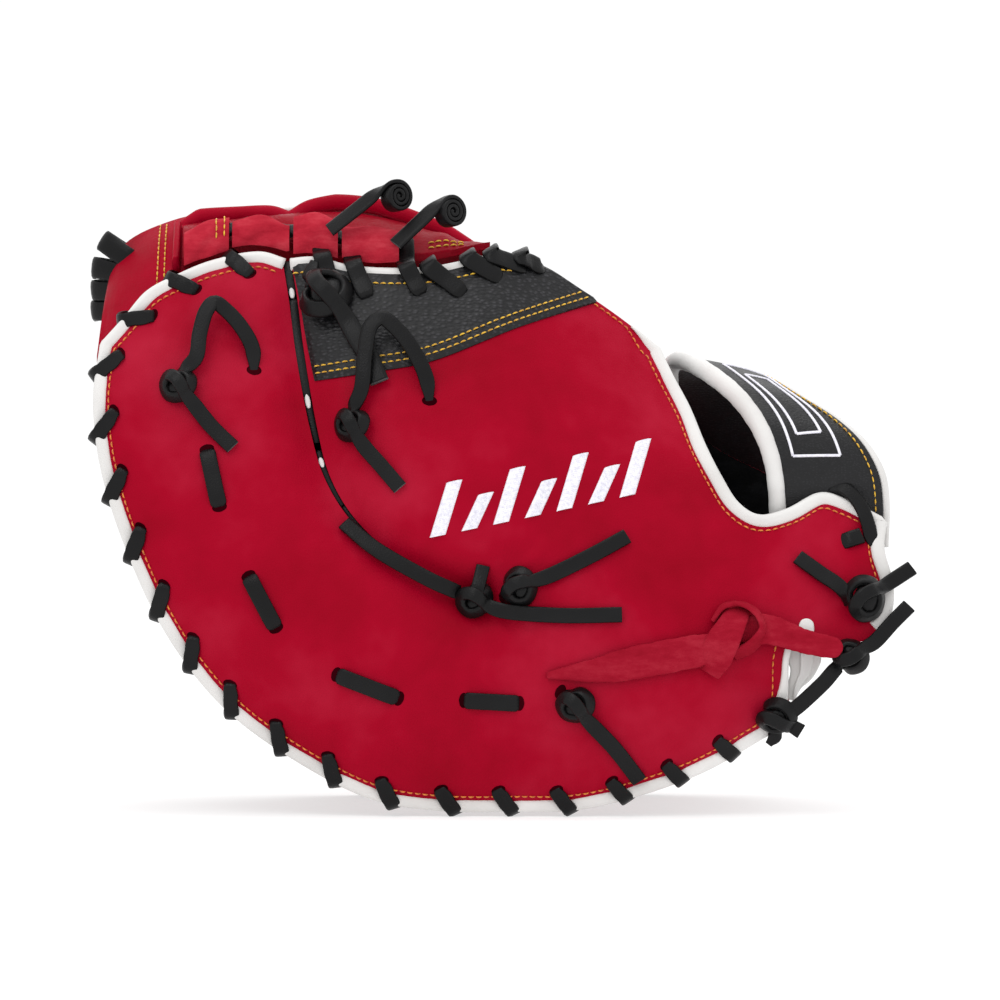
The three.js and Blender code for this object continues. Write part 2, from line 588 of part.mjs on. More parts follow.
// Black embossed panel over the inner section's top
const PANEL_LOW = [
  { x: -0.222, z: 0.778 }, { x: -0.084, z: 0.815 }, { x: 0.024, z: 0.877 }, { x: 0.100, z: 0.915 },
];
const panelLow = trace(PANEL_LOW, 40);
const panelPoint = (i, j) => {
  const low = at(panelLow, i / 13);
  const x = mix(at(panelLow, 0)[0], at(panelLow, 1)[0], i / 13);
  const top = heightAt(topLine, x) - (x < 1 ? INSET + 0.8 : 3.2);
  return [x, 0, mix(low[2], top, j / 4)];
};
const panelFace = (k) => (i, j) => {
  const [x, , z] = panelPoint(i, j);
  return [x, fingerFace(x, z) - k, z];
};
piece('tip_panel', sheet(13, 4, panelFace(2.0), panelFace(0.85)), 'black_leather');
const PANEL = 2.2;

// Web between the halves, its rolled rim, its tip bar and the tunnel loops along its finger edge
const WEB_LEFT = -0.385;
const WEB_RIGHT = -0.012;
const webRim = (u) => {
  const x = u * LENGTH;
  return [x, thumbFace(x, heightAt(thumbTop, x)) - 7.5, heightAt(thumbTop, x) + 0.5];
};
const webNear = (u) => {
  const x = u * LENGTH;
  const line = x < -0.2585 * LENGTH ? tipLine : topLine;
  return [x, fingerFace(x, heightAt(line, x)) + 11.5, heightAt(line, x) + 4.5];
};
const webPoint = (lift) => (i, j) => {
  const u = mix(WEB_LEFT, WEB_RIGHT, i / 14);
  const a = webNear(u);
  const b = webRim(u);
  const k = j / 5;
  const p = add(mul(a, 1 - k), mul(b, k * 0.94));
  const q = add(p, mul(b, k * 0.06));
  return [q[0], q[1] - (k > 0 ? 4.6 * k : 0), q[2] + lift + 2 * Math.sin(Math.PI * k)];
};
piece('web_sheet', sheet(14, 5, webPoint(0), webPoint(-2.4)), 'red_leather');
const rimPath = Array.from({ length: 15 }, (_, i) => webRim(mix(WEB_LEFT, WEB_RIGHT, i / 14)));
piece('web_rim', bar(rimPath, [0, 1, 0], 6, 6, 6), 'red_leather');
const LOOPS = [
  { name: 'web_loop_a', from: -0.382, to: -0.328, rise: 0.024, turn: 0.96 },
  { name: 'web_loop_b', from: -0.322, to: -0.255, rise: 0.024, turn: 0.9 },
  { name: 'web_loop_c', from: -0.250, to: -0.194, rise: 0.036, turn: 0.9 },
  { name: 'web_loop_d', from: -0.189, to: -0.124, rise: 0.030, turn: 0.9 },
];
for (const l of LOOPS) {
  const arch = (r) => (i, j) => {
    const u = mix(l.from, l.to, i / 3);
    const c = webNear(u);
    const a = Math.PI * (1.0 - l.turn * (j / 6));
    return [c[0], c[1] - 3.2 + r * Math.cos(a), c[2] + 3.1 + (r + l.rise * 60) * Math.sin(a)];
  };
  piece(l.name, sheet(3, 6, arch(7.2), arch(5.2)), 'red_suede');
}
const barU = WEB_LEFT - 0.0078;
const barLow = [barU * LENGTH, webNear(barU)[1] + 1, webNear(barU)[2] - 1];
const barHigh = [barU * LENGTH, webRim(barU)[1] - 4, webRim(barU)[2] - 3];
piece('web_tip_bar', bar([barLow, [barLow[0], (barLow[1] + barHigh[1]) / 2, (barLow[2] + barHigh[2]) / 2 + 1], barHigh],
  [1, 0, 0], 3, 12), 'red_leather');

// Strap over the wrist with its padded roll and piping. y is a share of HALF_DEPTH.
const STRAP = [
  { x: 0.334, y: -0.500, z: 0.500, rx: 0.464, ry: -0.470, rz: 0.480 },
  { x: 0.334, y: -0.535, z: 0.565, rx: 0.465, ry: -0.505, rz: 0.560 },
  { x: 0.328, y: -0.560, z: 0.635, rx: 0.460, ry: -0.530, rz: 0.610 },
  { x: 0.314, y: -0.520, z: 0.692, rx: 0.444, ry: -0.500, rz: 0.655 },
  { x: 0.290, y: -0.370, z: 0.745, rx: 0.414, ry: -0.390, rz: 0.695 },
  { x: 0.260, y: -0.180, z: 0.785, rx: 0.366, ry: -0.220, rz: 0.735 },
  { x: 0.232, y: 0.060, z: 0.808, rx: 0.326, ry: 0.020, rz: 0.765 },
  { x: 0.224, y: 0.300, z: 0.795, rx: 0.306, ry: 0.300, rz: 0.750 },
  { x: 0.232, y: 0.540, z: 0.735, rx: 0.306, ry: 0.540, rz: 0.690 },
  { x: 0.248, y: 0.740, z: 0.640, rx: 0.322, ry: 0.730, rz: 0.600 },
  { x: 0.258, y: 0.850, z: 0.545, rx: 0.334, ry: 0.830, rz: 0.520 },
];
const NA = 16;
const rollPath = smoothPath(STRAP.map((r) => [r.x * LENGTH, r.y * HALF_DEPTH, r.z * HEIGHT]), NA);
const rearPath = smoothPath(STRAP.map((r) => [r.rx * LENGTH, r.ry * HALF_DEPTH, r.rz * HEIGHT]), NA);
const strapNormal = (i) => {
  const t = unit(sub(rollPath[Math.min(i + 1, NA)], rollPath[Math.max(i - 1, 0)]));
  return unit(cross(t, sub(rearPath[i], rollPath[i])));
};
const strapPoint = (lift) => (i, j) => {
  const a = rollPath[i];
  const wide = Math.hypot(...sub(rearPath[i], a));
  const k = mix((ROLL_RADIUS + 1) / wide, 1 - 2.2 / wide, j / 4);
  const p = add(mul(a, 1 - k), mul(rearPath[i], k));
  return add(p, mul(strapNormal(i), lift + 1.2 * Math.sin(Math.PI * k)));
};
piece('wrist_strap', sheet(NA, 4, strapPoint(STRAP_THICK / 2), strapPoint(-STRAP_THICK / 2)), 'black_leather');
piece('strap_roll', bar(rollPath, (i) => sub(rearPath[i], rollPath[i]), 2 * ROLL_RADIUS, 2 * ROLL_RADIUS, 10), 'white_leather');
piece('strap_piping', bar(rearPath, (i) => sub(rearPath[i], rollPath[i]), 2.4, 2.8, 6), 'white_leather');

// Laces that whip the edges: hooks over the binding, joined along the palm's side
function hook(path, d, side, face, sign, under, slant = 1.5, reach = 11) {
  const { p, n, t } = station(path, d);
  const q = (k, depth, shift) => {
    const x = p[0] + side * n[0] * k + t[0] * shift;
    const z = p[2] + side * n[2] * k + t[2] * shift;
    const bx = p[0] + side * n[0] * Math.max(k, 2.5);
    const bz = p[2] + side * n[2] * Math.max(k, 2.5);
    return [x, face(bx, bz) + sign * depth, z];
  };
  return bar([
    q(reach, -2.3, slant), q(5.4, -3.0, slant * 0.4), q(-1.3, -2.3, 0), q(-1.4, under - 2.6, 0), q(9, under, 0),
  ], t, LACE_WIDTH, LACE_THICK);
}
function run(path, from, to, n, side, face, sign, deep, depth) {
  const rows = [];
  const normals = [];
  for (let i = 0; i <= n; i += 1) {
    const s = station(path, mix(from, to, i / n));
    const x = s.p[0] + side * s.n[0] * deep;
    const z = s.p[2] + side * s.n[2] * deep;
    rows.push([x, face(x, z) + sign * depth, z]);
    normals.push(s.n);
  }
  return bar(rows, (i) => normals[i], 5, LACE_THICK);
}
const FIRST = 18.9;
const PITCH = 22.66;
const HEEL_PITCH = 21;
const edgeHooks = Array.from({ length: 19 }, (_, k) => FIRST + PITCH * Math.min(k, 13) + HEEL_PITCH * Math.max(k - 13, 0));
piece('edge_lace', joined(
  run(edgePath, FIRST, edgeHooks[18], 36, 1, fingerFace, 1, 7.5, 14.2),
  ...edgeHooks.map((d) => hook(edgePath, d, 1, fingerFace, 1, 14.4)),
), 'black_lace');
const TIP_HOOKS = 4;
const thumbHooks = Array.from({ length: 16 }, (_, k) => (k < TIP_HOOKS ? 140 + 9 * k : 167 + 26.5 * (k - 3)));
piece('thumb_lace', joined(
  run(thumbPath, 140, thumbHooks[15], 32, 1, thumbFace, -1, 7.5, 16.0),
  ...thumbHooks.map((d) => hook(thumbPath, d, 1, thumbFace, -1, 15.9)),
), 'black_lace');


// Lace through the tunnel loops, with the wraps that go over the top binding
const TOP_WRAPS = [
  { x: -0.300, slant: 0.5 }, { x: -0.214, slant: 2 }, { x: -0.170, slant: 3 }, { x: -0.108, slant: 3 },
  { x: -0.074, slant: 7 }, { x: -0.030, slant: 7 }, { x: 0.010, slant: 8 },
];
const tunnel = (u) => {
  const c = webNear(u);
  return [c[0], c[1] - 3.2, c[2] + 4.8];
};
const tunnelRun = Array.from({ length: 13 }, (_, i) => tunnel(mix(-0.376, -0.006, i / 12)));
function topWrap({ x: u, slant }) {
  const x = u * LENGTH;
  const line = u < -0.2585 ? tipLine : topLine;
  const z = heightAt(line, x);
  const lift = u > -0.23 && u < 0.02 ? 1.5 : 0;
  const c = tunnel(Math.min(u, -0.008));
  const y = (k) => fingerFace(x, z - k);
  return bar([
    [x + slant, y(11) - 2.6 - lift, z - 11], [x + slant * 0.4, y(6) - 3 - lift, z - 5.4],
    [x, y(3) - 2.6, z + 0.8], [x, y(3) + 1.2, z + 1.9], [Math.min(x - 0.5, c[0] - 2), c[1], c[2] + 0.2],
  ], [1, 0, 0], LACE_WIDTH, LACE_THICK);
}
piece('top_lace', joined(
  bar(tunnelRun, [0, 0, 1], 4.5, 3.2),
  ...TOP_WRAPS.slice(1).map(topWrap),
), 'black_lace');

// Lace strips with knots that lie on the finger side's skin
const K = PANEL;
const knotAt = (u, v, lift, r = 5.4) => lump(spot(u, v, lift), r, r * 0.62, r * 0.86);
piece('loop_lace_a', joined(
  ribbon([[-0.293, 0.792, 1.9], [-0.308, 0.846, 3.4], [-0.331, 0.887, 5], [-0.350, 0.905, 5.6], [-0.361, 0.880, 5.4],
    [-0.366, 0.840, 4.8], [-0.378, 0.772, 4.8]], 10),
  knotAt(-0.380, 0.766, 4.6),
  ribbon([[-0.379, 0.760, 4.2], [-0.346, 0.700, 2.6], [-0.320, 0.659, 1.9]], 4),
), 'black_lace');
piece('loop_lace_b', joined(
  ribbon([[-0.084, 0.726, 1.9], [-0.092, 0.780, 3.6], [-0.112, 0.838, 6 + K], [-0.136, 0.872, 7 + K], [-0.154, 0.846, 7 + K],
    [-0.162, 0.792, 7], [-0.173, 0.702, 4.8]], 10),
  knotAt(-0.175, 0.695, 4.6),
  ribbon([[-0.174, 0.690, 4.2], [-0.140, 0.626, 2.6], [-0.118, 0.589, 1.9]], 4),
), 'black_lace');
piece('tip_knot', joined(
  knotAt(-0.206, 0.912, 5.2 + K, 7),
  ribbon([[-0.206, 0.905, 3.6 + K], [-0.182, 0.855, 2.4 + K], [-0.162, 0.810, 2.6 + K], [-0.146, 0.770, 3.4]], 6, 7.5),
), 'black_lace');
piece('slit_strip', joined(
  ribbon([[-0.192, 0.522, 3.2], [-0.160, 0.474, 4.4], [-0.118, 0.430, 5.4], [-0.070, 0.395, 6.4], [-0.030, 0.382, 6.2]], 8),
  knotAt(-0.024, 0.382, 6.8, 6),
  ribbon([[-0.024, 0.384, 5.4], [-0.022, 0.414, 5.4], [-0.018, 0.448, 4]], 3, 5.5),
  ribbon([[-0.020, 0.376, 5.4], [0.060, 0.354, 2.8], [0.144, 0.344, 2]], 5),
), 'black_lace');
piece('side_knot', joined(
  knotAt(0.028, 0.420, 4.4, 5.6),
  ribbon([[0.030, 0.424, 3.2], [0.090, 0.466, 2.2], [0.152, 0.508, 2]], 5),
), 'black_lace');
const STITCHES = [
  { name: 'break_lace_1', u: -0.352, v: 0.657, eu: -0.336, ev: 0.558 },
  { name: 'break_lace_2', u: -0.300, v: 0.432, eu: -0.268, ev: 0.342 },
  { name: 'break_lace_3', u: -0.194, v: 0.257, eu: -0.122, ev: 0.216 },
  { name: 'break_lace_4', u: -0.042, v: 0.212, eu: 0.022, ev: 0.207 },
];
for (const b of STITCHES) {
  piece(b.name, ribbon([[b.u, b.v, 1.5], [(b.u + b.eu) / 2, (b.v + b.ev) / 2, 2.1], [b.eu, b.ev, 1.5]], 5), 'black_lace');
}
piece('break_knot', joined(
  knotAt(0.090, 0.207, 4.2, 5.6),
  ribbon([[0.092, 0.200, 3], [0.130, 0.150, 2.2], [0.166, 0.108, 2]], 5),
), 'black_lace');

// The slit's welt behind its gap, and the lace that whips inside the gap
const slitRow = (t, lift) => {
  const [x, , z] = at(slitLine, t * SLIT_END);
  return [x, fingerFace(x, z) - lift, z];
};
piece('slit_welt', bar(Array.from({ length: 15 }, (_, i) => slitRow(mix(0.2, 0.99, i / 14), -(SHELL + 1.7))), [1, 0, 0], 2.4, 2, 5), 'white_leather');
const slitSide = (i) => unit(cross(sub(slitRow(0.5 + (i + 1) / 40, 0), slitRow(0.5 + i / 40, 0)), [0, 1, 0]));
piece('slit_lace', bar(Array.from({ length: 9 }, (_, i) => slitRow(mix(0.44, 0.72, i / 8), -0.8)), slitSide, 1.7, 2), 'black_lace');

// Rolled lace ends above the web
const ROLLED = [
  { name: 'web_end_a', cu: -0.206, cv: 1.051, u: -0.126, v: 1.112 },
  { name: 'web_end_b', cu: -0.126, cv: 1.026, u: -0.061, v: 1.084 },
];
for (const e of ROLLED) {
  const cut = [e.cu * LENGTH, webNear(e.cu)[1] - 13.5, e.cv * HEIGHT];
  const coil = [e.u * LENGTH, webNear(e.u)[1] - 8.5, e.v * HEIGHT];
  const roll = new THREE.CylinderGeometry(5.6, 5.6, LACE_WIDTH, 14);
  roll.rotateX(0.25);
  roll.rotateZ(-0.2);
  roll.translate(coil[0], coil[1], coil[2]);
  piece(e.name, joined(
    bar([cut, [mix(cut[0], coil[0], 0.6), mix(cut[1], coil[1], 0.4) - 1, mix(cut[2], coil[2], 0.75)], add(coil, [-1, -1, 3.4])],
      [0.2, -0.5, 1], LACE_WIDTH, LACE_THICK),
    roll,
  ), 'black_lace');
}

// Heel: knots and laces in the notch, the light piece inside it, the strap's lace
piece('heel_lace', joined(
  knotAt(0.340, 0.186, 6.2, 6.6),
  ribbon([[0.342, 0.190, 5.2], [0.372, 0.226, 3.2], [0.410, 0.272, 4.4]], 4, 5.5),
  knotAt(0.416, 0.290, 5.2, 5.8),
  ribbon([[0.420, 0.300, 4.4], [0.455, 0.345, 3.6], [0.486, 0.372, 2.4]], 4, 5.5),
), 'black_lace');
piece('tab_knot', joined(
  knotAt(0.430, 0.396, 5, 6.2),
  ribbon([[0.428, 0.400, 3.6], [0.392, 0.428, 2.2], [0.356, 0.455, 2]], 4, 5.5),
  ribbon([[0.434, 0.400, 3.6], [0.462, 0.426, 2.6], [0.490, 0.436, 2.6]], 4, 5.5),
), 'black_lace');
piece('strap_lace', ribbon([[0.412, 0.548, 2.2], [0.424, 0.528, 3], [0.446, 0.490, 2]], 4, 5.5), 'black_lace');
piece('heel_piece', bar([spot(0.3595, 0.190, -5), spot(0.3600, 0.250, -5), spot(0.3610, 0.318, -5)], [1, 0, 0], 7, 2), 'white_leather');

// Red suede tie, knotted over the outer section near the heel
const TIE_THICK = 2.2;
piece('suede_tie', joined(
  ribbon([[0.060, 0.268, 1.8], [0.120, 0.283, 2.2], [0.190, 0.300, 3.0], [0.262, 0.318, 5.6]], 7, (i) => 4 + 0.75 * i, TIE_THICK),
  ribbon([[0.290, 0.325, 6], [0.350, 0.316, 4.6], [0.404, 0.300, 9]], 5, 9, TIE_THICK),
  lump(spot(0.276, 0.320, 5.8), 11, 4.2, 9.5),
), 'red_suede');

// The frame's origin is the middle of the underside of the box round the whole mitt
const box = new THREE.Box3().setFromObject(mitt, true);
const shift = [-(box.min.x + box.max.x) / 2, -(box.min.y + box.max.y) / 2, 0];
for (const mesh of mitt.children) mesh.geometry.translate(...shift);

export { shift };
export default mitt;
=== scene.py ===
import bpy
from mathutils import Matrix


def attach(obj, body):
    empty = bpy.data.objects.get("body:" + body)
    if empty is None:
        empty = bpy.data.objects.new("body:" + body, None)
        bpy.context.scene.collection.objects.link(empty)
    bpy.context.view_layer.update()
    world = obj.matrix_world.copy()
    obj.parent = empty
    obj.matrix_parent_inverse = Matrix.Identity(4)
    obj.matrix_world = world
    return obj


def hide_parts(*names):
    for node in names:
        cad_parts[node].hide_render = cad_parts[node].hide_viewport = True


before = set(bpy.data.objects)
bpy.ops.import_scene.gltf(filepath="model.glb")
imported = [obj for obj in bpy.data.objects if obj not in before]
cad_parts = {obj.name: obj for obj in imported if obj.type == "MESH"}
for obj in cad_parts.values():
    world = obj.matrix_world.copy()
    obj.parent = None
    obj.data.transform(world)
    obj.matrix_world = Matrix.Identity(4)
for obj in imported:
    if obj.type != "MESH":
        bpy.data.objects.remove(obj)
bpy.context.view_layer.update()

# %% [markdown]
# A first baseman mitt stands palm down on its two laced edges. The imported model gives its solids, and this
# notebook dresses them: leather with folds and grain, bindings, flat laces with knots, stitching and lining.
# The mitt's surfaces are worked out in millimetres, as leather is cut, and each finished mesh is put down
# in metres, in the frame's own place.

# %% imports and the step from millimetres to metres
import math

import bpy
import numpy as np

MM = 0.001
# the pack puts the middle of the solids' box at the origin, this many mm from the pattern's
FRAME_SHIFT = np.array([0.59675, 1.00674, 0.0])

# %% [markdown]
# The photograph was taken from the finger side with a long lens, nearly level with the mitt. A long lens
# far away keeps the outline flat, as in the picture, and two degrees of height show the floor as a plain
# field. One pixel of the photograph is 0.36 mm on the mitt's near face, so distance and lens follow.

# %% camera
PIXEL = 0.36
PHOTO = 1000
SENSOR = 36.0
CAMERA_DISTANCE = 3600.0
CAMERA_HEIGHT_ANGLE = math.radians(2.0)
# the middle of the picture, on the near half's leather
LOOK_AT = np.array([0.0, -48.0, 113.4])
camera_data = bpy.data.cameras.new("studio_camera")
camera_data.sensor_width = SENSOR
camera_data.lens = SENSOR * CAMERA_DISTANCE / (PIXEL * PHOTO)
camera = bpy.data.objects.new("studio_camera", camera_data)
bpy.context.scene.collection.objects.link(camera)
away = np.array([0.0, -math.cos(CAMERA_HEIGHT_ANGLE), math.sin(CAMERA_HEIGHT_ANGLE)])
camera.location = (LOOK_AT + FRAME_SHIFT + away * CAMERA_DISTANCE) * MM
camera.rotation_euler = (math.radians(90) - CAMERA_HEIGHT_ANGLE, 0, 0)
bpy.context.scene.camera = camera
bpy.context.scene.view_settings.view_transform = "Standard"
print("lens", round(camera_data.lens, 1), "mm")

# %% [markdown]
# The mitt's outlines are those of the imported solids: the laced edge, the slit between the outer and the
# inner section, the top, the wrist opening, the heel and the tab, and the thumb half behind. Each is a short
# row of points that a maker would mark on the pattern, as shares of the mitt's length and height.

# %% driving sizes
LENGTH = 300.0
HEIGHT = 200.0
HALF_DEPTH = 66.0
SHELL = 2.2
BIND_WIDTH = 5.0
BIND_DEPTH = 4.2
LACE_WIDTH = 6.5
LACE_THICK = 1.7
HAND_ROOM = 17.0
SLIT_GAP = 3.0
# share of the slit's line that is cut through; the rest is where two hides meet
SLIT_END = 0.565

# %% outlines seen from the finger side
EDGE = [
    (-0.482, 0.848), (-0.490, 0.747), (-0.480, 0.621), (-0.444, 0.459), (-0.396, 0.315), (-0.330, 0.192),
    (-0.240, 0.094), (-0.150, 0.028), (-0.070, 0.0095), (0.020, 0.0085), (0.080, 0.0095), (0.130, 0.022),
    (0.240, 0.076), (0.324, 0.146),
]
TIP_EDGE = [
    (-0.482, 0.848), (-0.455, 0.893), (-0.427, 0.942), (-0.390, 0.972), (-0.349, 0.997), (-0.290, 1.013),
    (-0.2585, 1.000),
]
SLIT = [
    (-0.2585, 1.000), (-0.250, 0.927), (-0.242, 0.837), (-0.224, 0.693), (-0.208, 0.610), (-0.178, 0.536),
    (-0.120, 0.459), (-0.026, 0.387), (0.100, 0.340), (0.240, 0.325), (0.362, 0.352),
]
TOP_EDGE = [
    (-0.2585, 1.000), (-0.223, 1.004), (-0.178, 0.988), (-0.086, 0.986), (0.000, 1.008), (0.052, 0.990),
    (0.103, 0.940), (0.143, 0.898), (0.194, 0.838),
]
OPENING = [
    (0.194, 0.838), (0.210, 0.788), (0.230, 0.731), (0.248, 0.665), (0.268, 0.606), (0.287, 0.562),
    (0.310, 0.541), (0.344, 0.551), (0.386, 0.580), (0.418, 0.567), (0.466, 0.531),
]
HEEL = [(0.324, 0.146), (0.343, 0.200), (0.347, 0.290), (0.362, 0.352)]
TAB = [
    (0.362, 0.352), (0.400, 0.322), (0.436, 0.312), (0.466, 0.350), (0.473, 0.410), (0.462, 0.480),
    (0.466, 0.531),
]
THUMB_LOW = [
    (-0.482, 0.900), (-0.478, 0.750), (-0.455, 0.570), (-0.410, 0.390), (-0.330, 0.215), (-0.235, 0.068),
    (-0.165, 0.011), (0.000, 0.0085), (0.150, 0.010), (0.260, 0.075), (0.335, 0.170),
]
THUMB_TOP = [
    (-0.482, 0.900), (-0.466, 1.010), (-0.400, 1.065), (-0.310, 1.085), (-0.184, 1.095), (-0.080, 1.060),
    (0.000, 1.012), (0.052, 0.990), (0.103, 0.940), (0.143, 0.898), (0.180, 0.840), (0.210, 0.740),
    (0.260, 0.660), (0.335, 0.600),
]

# %% depth tables: x, depth at the low edge, depth at the top, as shares of half the depth
FINGER_DEPTH = [
    (-0.50, 0.66, 0.33), (-0.33, 0.80, 0.31), (-0.13, 0.93, 0.29), (0.00, 0.94, 0.24), (0.10, 0.94, 0.09),
    (0.20, 0.93, 0.05), (0.34, 0.80, 0.05), (0.48, 0.70, 0.05),
]
THUMB_DEPTH = [
    (-0.50, 0.62, 0.42), (-0.33, 0.82, 0.38), (-0.13, 1.00, 0.36), (0.00, 1.02, 0.26), (0.10, 1.02, 0.08),
    (0.20, 1.00, 0.05), (0.34, 0.84, 0.05), (0.48, 0.70, 0.05),
]
# x, height where the finger half and the thumb half reach their top depth
ROOF = [
    (-0.50, 1.00, 1.08), (-0.18, 1.00, 1.09), (0.00, 1.015, 1.02), (0.10, 0.95, 0.95), (0.20, 0.83, 0.83),
    (0.48, 0.75, 0.75),
]
# x, height of the palm's shoulder and of its middle under the hand
PALM_ARCH = [
    (0.00, 0.97, 0.985), (0.07, 0.78, 0.83), (0.16, 0.52, 0.57), (0.27, 0.36, 0.41), (0.36, 0.31, 0.36),
]
# left of this x the palm is parted into two leaves
CROTCH = 0.012 * LENGTH

# %% [markdown]
# A line through marked points is smoothed with cubic pieces that pass through every point, and that
# neither loop nor overshoot at tight corners. A helper of our own is used instead of a curve object, because
# the same lines are needed as numbers: for the edges of meshes, for lace paths and for distances.

# %% smooth lines
def mix(a, b, t):
    return a + (b - a) * t


def smooth(low, high, value):
    t = np.clip((value - low) / (high - low), 0, 1)
    return t * t * (3 - 2 * t)


def unit(v):
    v = np.asarray(v, float)
    return v / np.maximum(np.linalg.norm(v, axis=-1, keepdims=True), 1e-9)


def spline(points, n, dense=400):
    """n + 1 evenly spaced points on the smooth curve through the given ones."""
    p = np.asarray(points, float)
    p = np.vstack([2 * p[0] - p[1], p, 2 * p[-1] - p[-2]])
    out = []
    share = np.linspace(0, 1, max(dense // (len(p) - 3), 8), endpoint=False)[:, None]
    for i in range(1, len(p) - 2):
        d0, d1, d2 = (math.sqrt(max(np.linalg.norm(p[i + k] - p[i + k - 1]), 1e-6)) for k in (0, 1, 2))
        a = (p[i] - p[i - 1]) / d0 - (p[i + 1] - p[i - 1]) / (d0 + d1) + (p[i + 1] - p[i]) / d1
        b = (p[i + 1] - p[i]) / d1 - (p[i + 2] - p[i]) / (d1 + d2) + (p[i + 2] - p[i + 1]) / d2
        a, b = a * d1, b * d1
        c2 = -3 * p[i] + 3 * p[i + 1] - 2 * a - b
        c3 = 2 * p[i] - 2 * p[i + 1] + a + b
        out.append(p[i] + a * share + c2 * share ** 2 + c3 * share ** 3)
    out = np.vstack(out + [p[-2][None]])
    run = np.concatenate([[0], np.cumsum(np.linalg.norm(np.diff(out, axis=0), axis=1))])
    where = np.linspace(0, run[-1], n + 1)
    return np.stack([np.interp(where, run, out[:, k]) for k in range(out.shape[1])], axis=1)


OUTLINE_STEPS = 120


def outline(rows):
    return spline(np.array(rows) * [LENGTH, HEIGHT], OUTLINE_STEPS)


edge_line, tip_line, slit_line = outline(EDGE), outline(TIP_EDGE), outline(SLIT)
top_line, open_line, heel_line = outline(TOP_EDGE), outline(OPENING), outline(HEEL)
tab_line, thumb_low, thumb_top = outline(TAB), outline(THUMB_LOW), outline(THUMB_TOP)
open_slit = slit_line[:round(SLIT_END * OUTLINE_STEPS)]
print("laced edge is", round(float(np.linalg.norm(np.diff(edge_line, axis=0), axis=1).sum())), "mm long")

# %% measuring along and away from lines
ROUND_OVER = 8.0


def along(table, column, x):
    """A column of a table, read at x and rounded over its rows."""
    xs = np.array([row[0] for row in table])
    ys = np.array([row[column] for row in table])
    steps = ((-ROUND_OVER, 0.25), (0, 0.5), (ROUND_OVER, 0.25))
    return sum(weight * np.interp((x + d) / LENGTH, xs, ys) for d, weight in steps)


def distance(line, x, z):
    """Distance from points to a line of points."""
    x, z = np.broadcast_arrays(np.asarray(x, float), np.asarray(z, float))
    best = np.full(x.shape, 1e9)
    for (ax, az), (bx, bz) in zip(line[:-1], np.diff(line, axis=0)):
        t = np.clip(((x - ax) * bx + (z - az) * bz) / max(bx * bx + bz * bz, 1e-9), 0, 1)
        best = np.minimum(best, (x - ax - t * bx) ** 2 + (z - az - t * bz) ** 2)
    return np.sqrt(best)


def height_at(line, x):
    """Height of a line where it passes x, or of its nearer end beyond it."""
    x = np.asarray(x, float)
    z = np.where(x > line[0][0], line[-1][1], line[0][1])
    for (ax, az), (bx, bz) in zip(line[:-1], line[1:]):
        if ax == bx:
            continue
        here = (ax - x) * (bx - x) <= 0
        z = np.where(here, mix(az, bz, (x - ax) / (bx - ax)), z)
    return z


# %% [markdown]
# The two halves bulge like a clam shell. Their depth is a plain function of length and height, the same
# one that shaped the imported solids, so that everything sewn or laced to the leather can ask where the
# leather is. The soft wrinkles that fan out from the end of the slit are added on top of it.

# %% faces of the two halves
# mm that the leather bulges between floor and top, rises as padding, and dips at the slit and at a rim
BULGE, PADDING, SLIT_DIP, RIM_DIP = 11.0, 4.0, 4.5, 3.0
# squares of the mm over which padding and dips fade
PADDING_FROM_SLIT, PADDING_FROM_RIM, SLIT_FADE, RIM_FADE = 500.0, 400.0, 60.0, 50.0
# power of the height: the higher it is, the later the halves lean in towards the top
LEAN_IN = 2.2


def half_depth(table, roof, x, z):
    """Depth of a half between its low and its top edge, before padding and dips."""
    q = np.clip(z / (along(ROOF, roof, x) * HEIGHT), 0, 1.06)
    rise = q ** LEAN_IN
    flat = along(table, 1, x) * HALF_DEPTH * (1 - rise) + along(table, 2, x) * HALF_DEPTH * rise
    return flat + BULGE * np.sin(np.pi * np.minimum(q, 1))


def finger_base(x, z):
    slit = distance(open_slit, x, z)
    rim = np.minimum(distance(edge_line, x, z), distance(tip_line, x, z))
    pad = PADDING * (1 - np.exp(-slit * slit / PADDING_FROM_SLIT))
    pad = pad * (1 - np.exp(-rim * rim / PADDING_FROM_RIM))
    valley = SLIT_DIP * np.exp(-slit * slit / SLIT_FADE) * smooth(0, 30, HEIGHT - z)
    return -(half_depth(FINGER_DEPTH, 1, x, z) + pad - valley - RIM_DIP * np.exp(-rim * rim / RIM_FADE))


def thumb_base(x, z):
    rim = np.minimum(distance(thumb_low, x, z), np.where(x < 0, distance(thumb_top, x, z), 1e3))
    pad = PADDING * (1 - np.exp(-rim * rim / PADDING_FROM_RIM))
    return half_depth(THUMB_DEPTH, 2, x, z) + pad - RIM_DIP * np.exp(-rim * rim / RIM_FADE)


# %% wrinkles
FOLD_CENTRE = (-0.020 * LENGTH, 0.400 * HEIGHT)
# mm: where the fan of wrinkles is deepest, how wide it is, its depth, and the depth of the slow wear
FAN_RADIUS, FAN_WIDE, FAN_DEEP, WEAR_DEEP = 26.0, 17.0, 0.28, 0.45


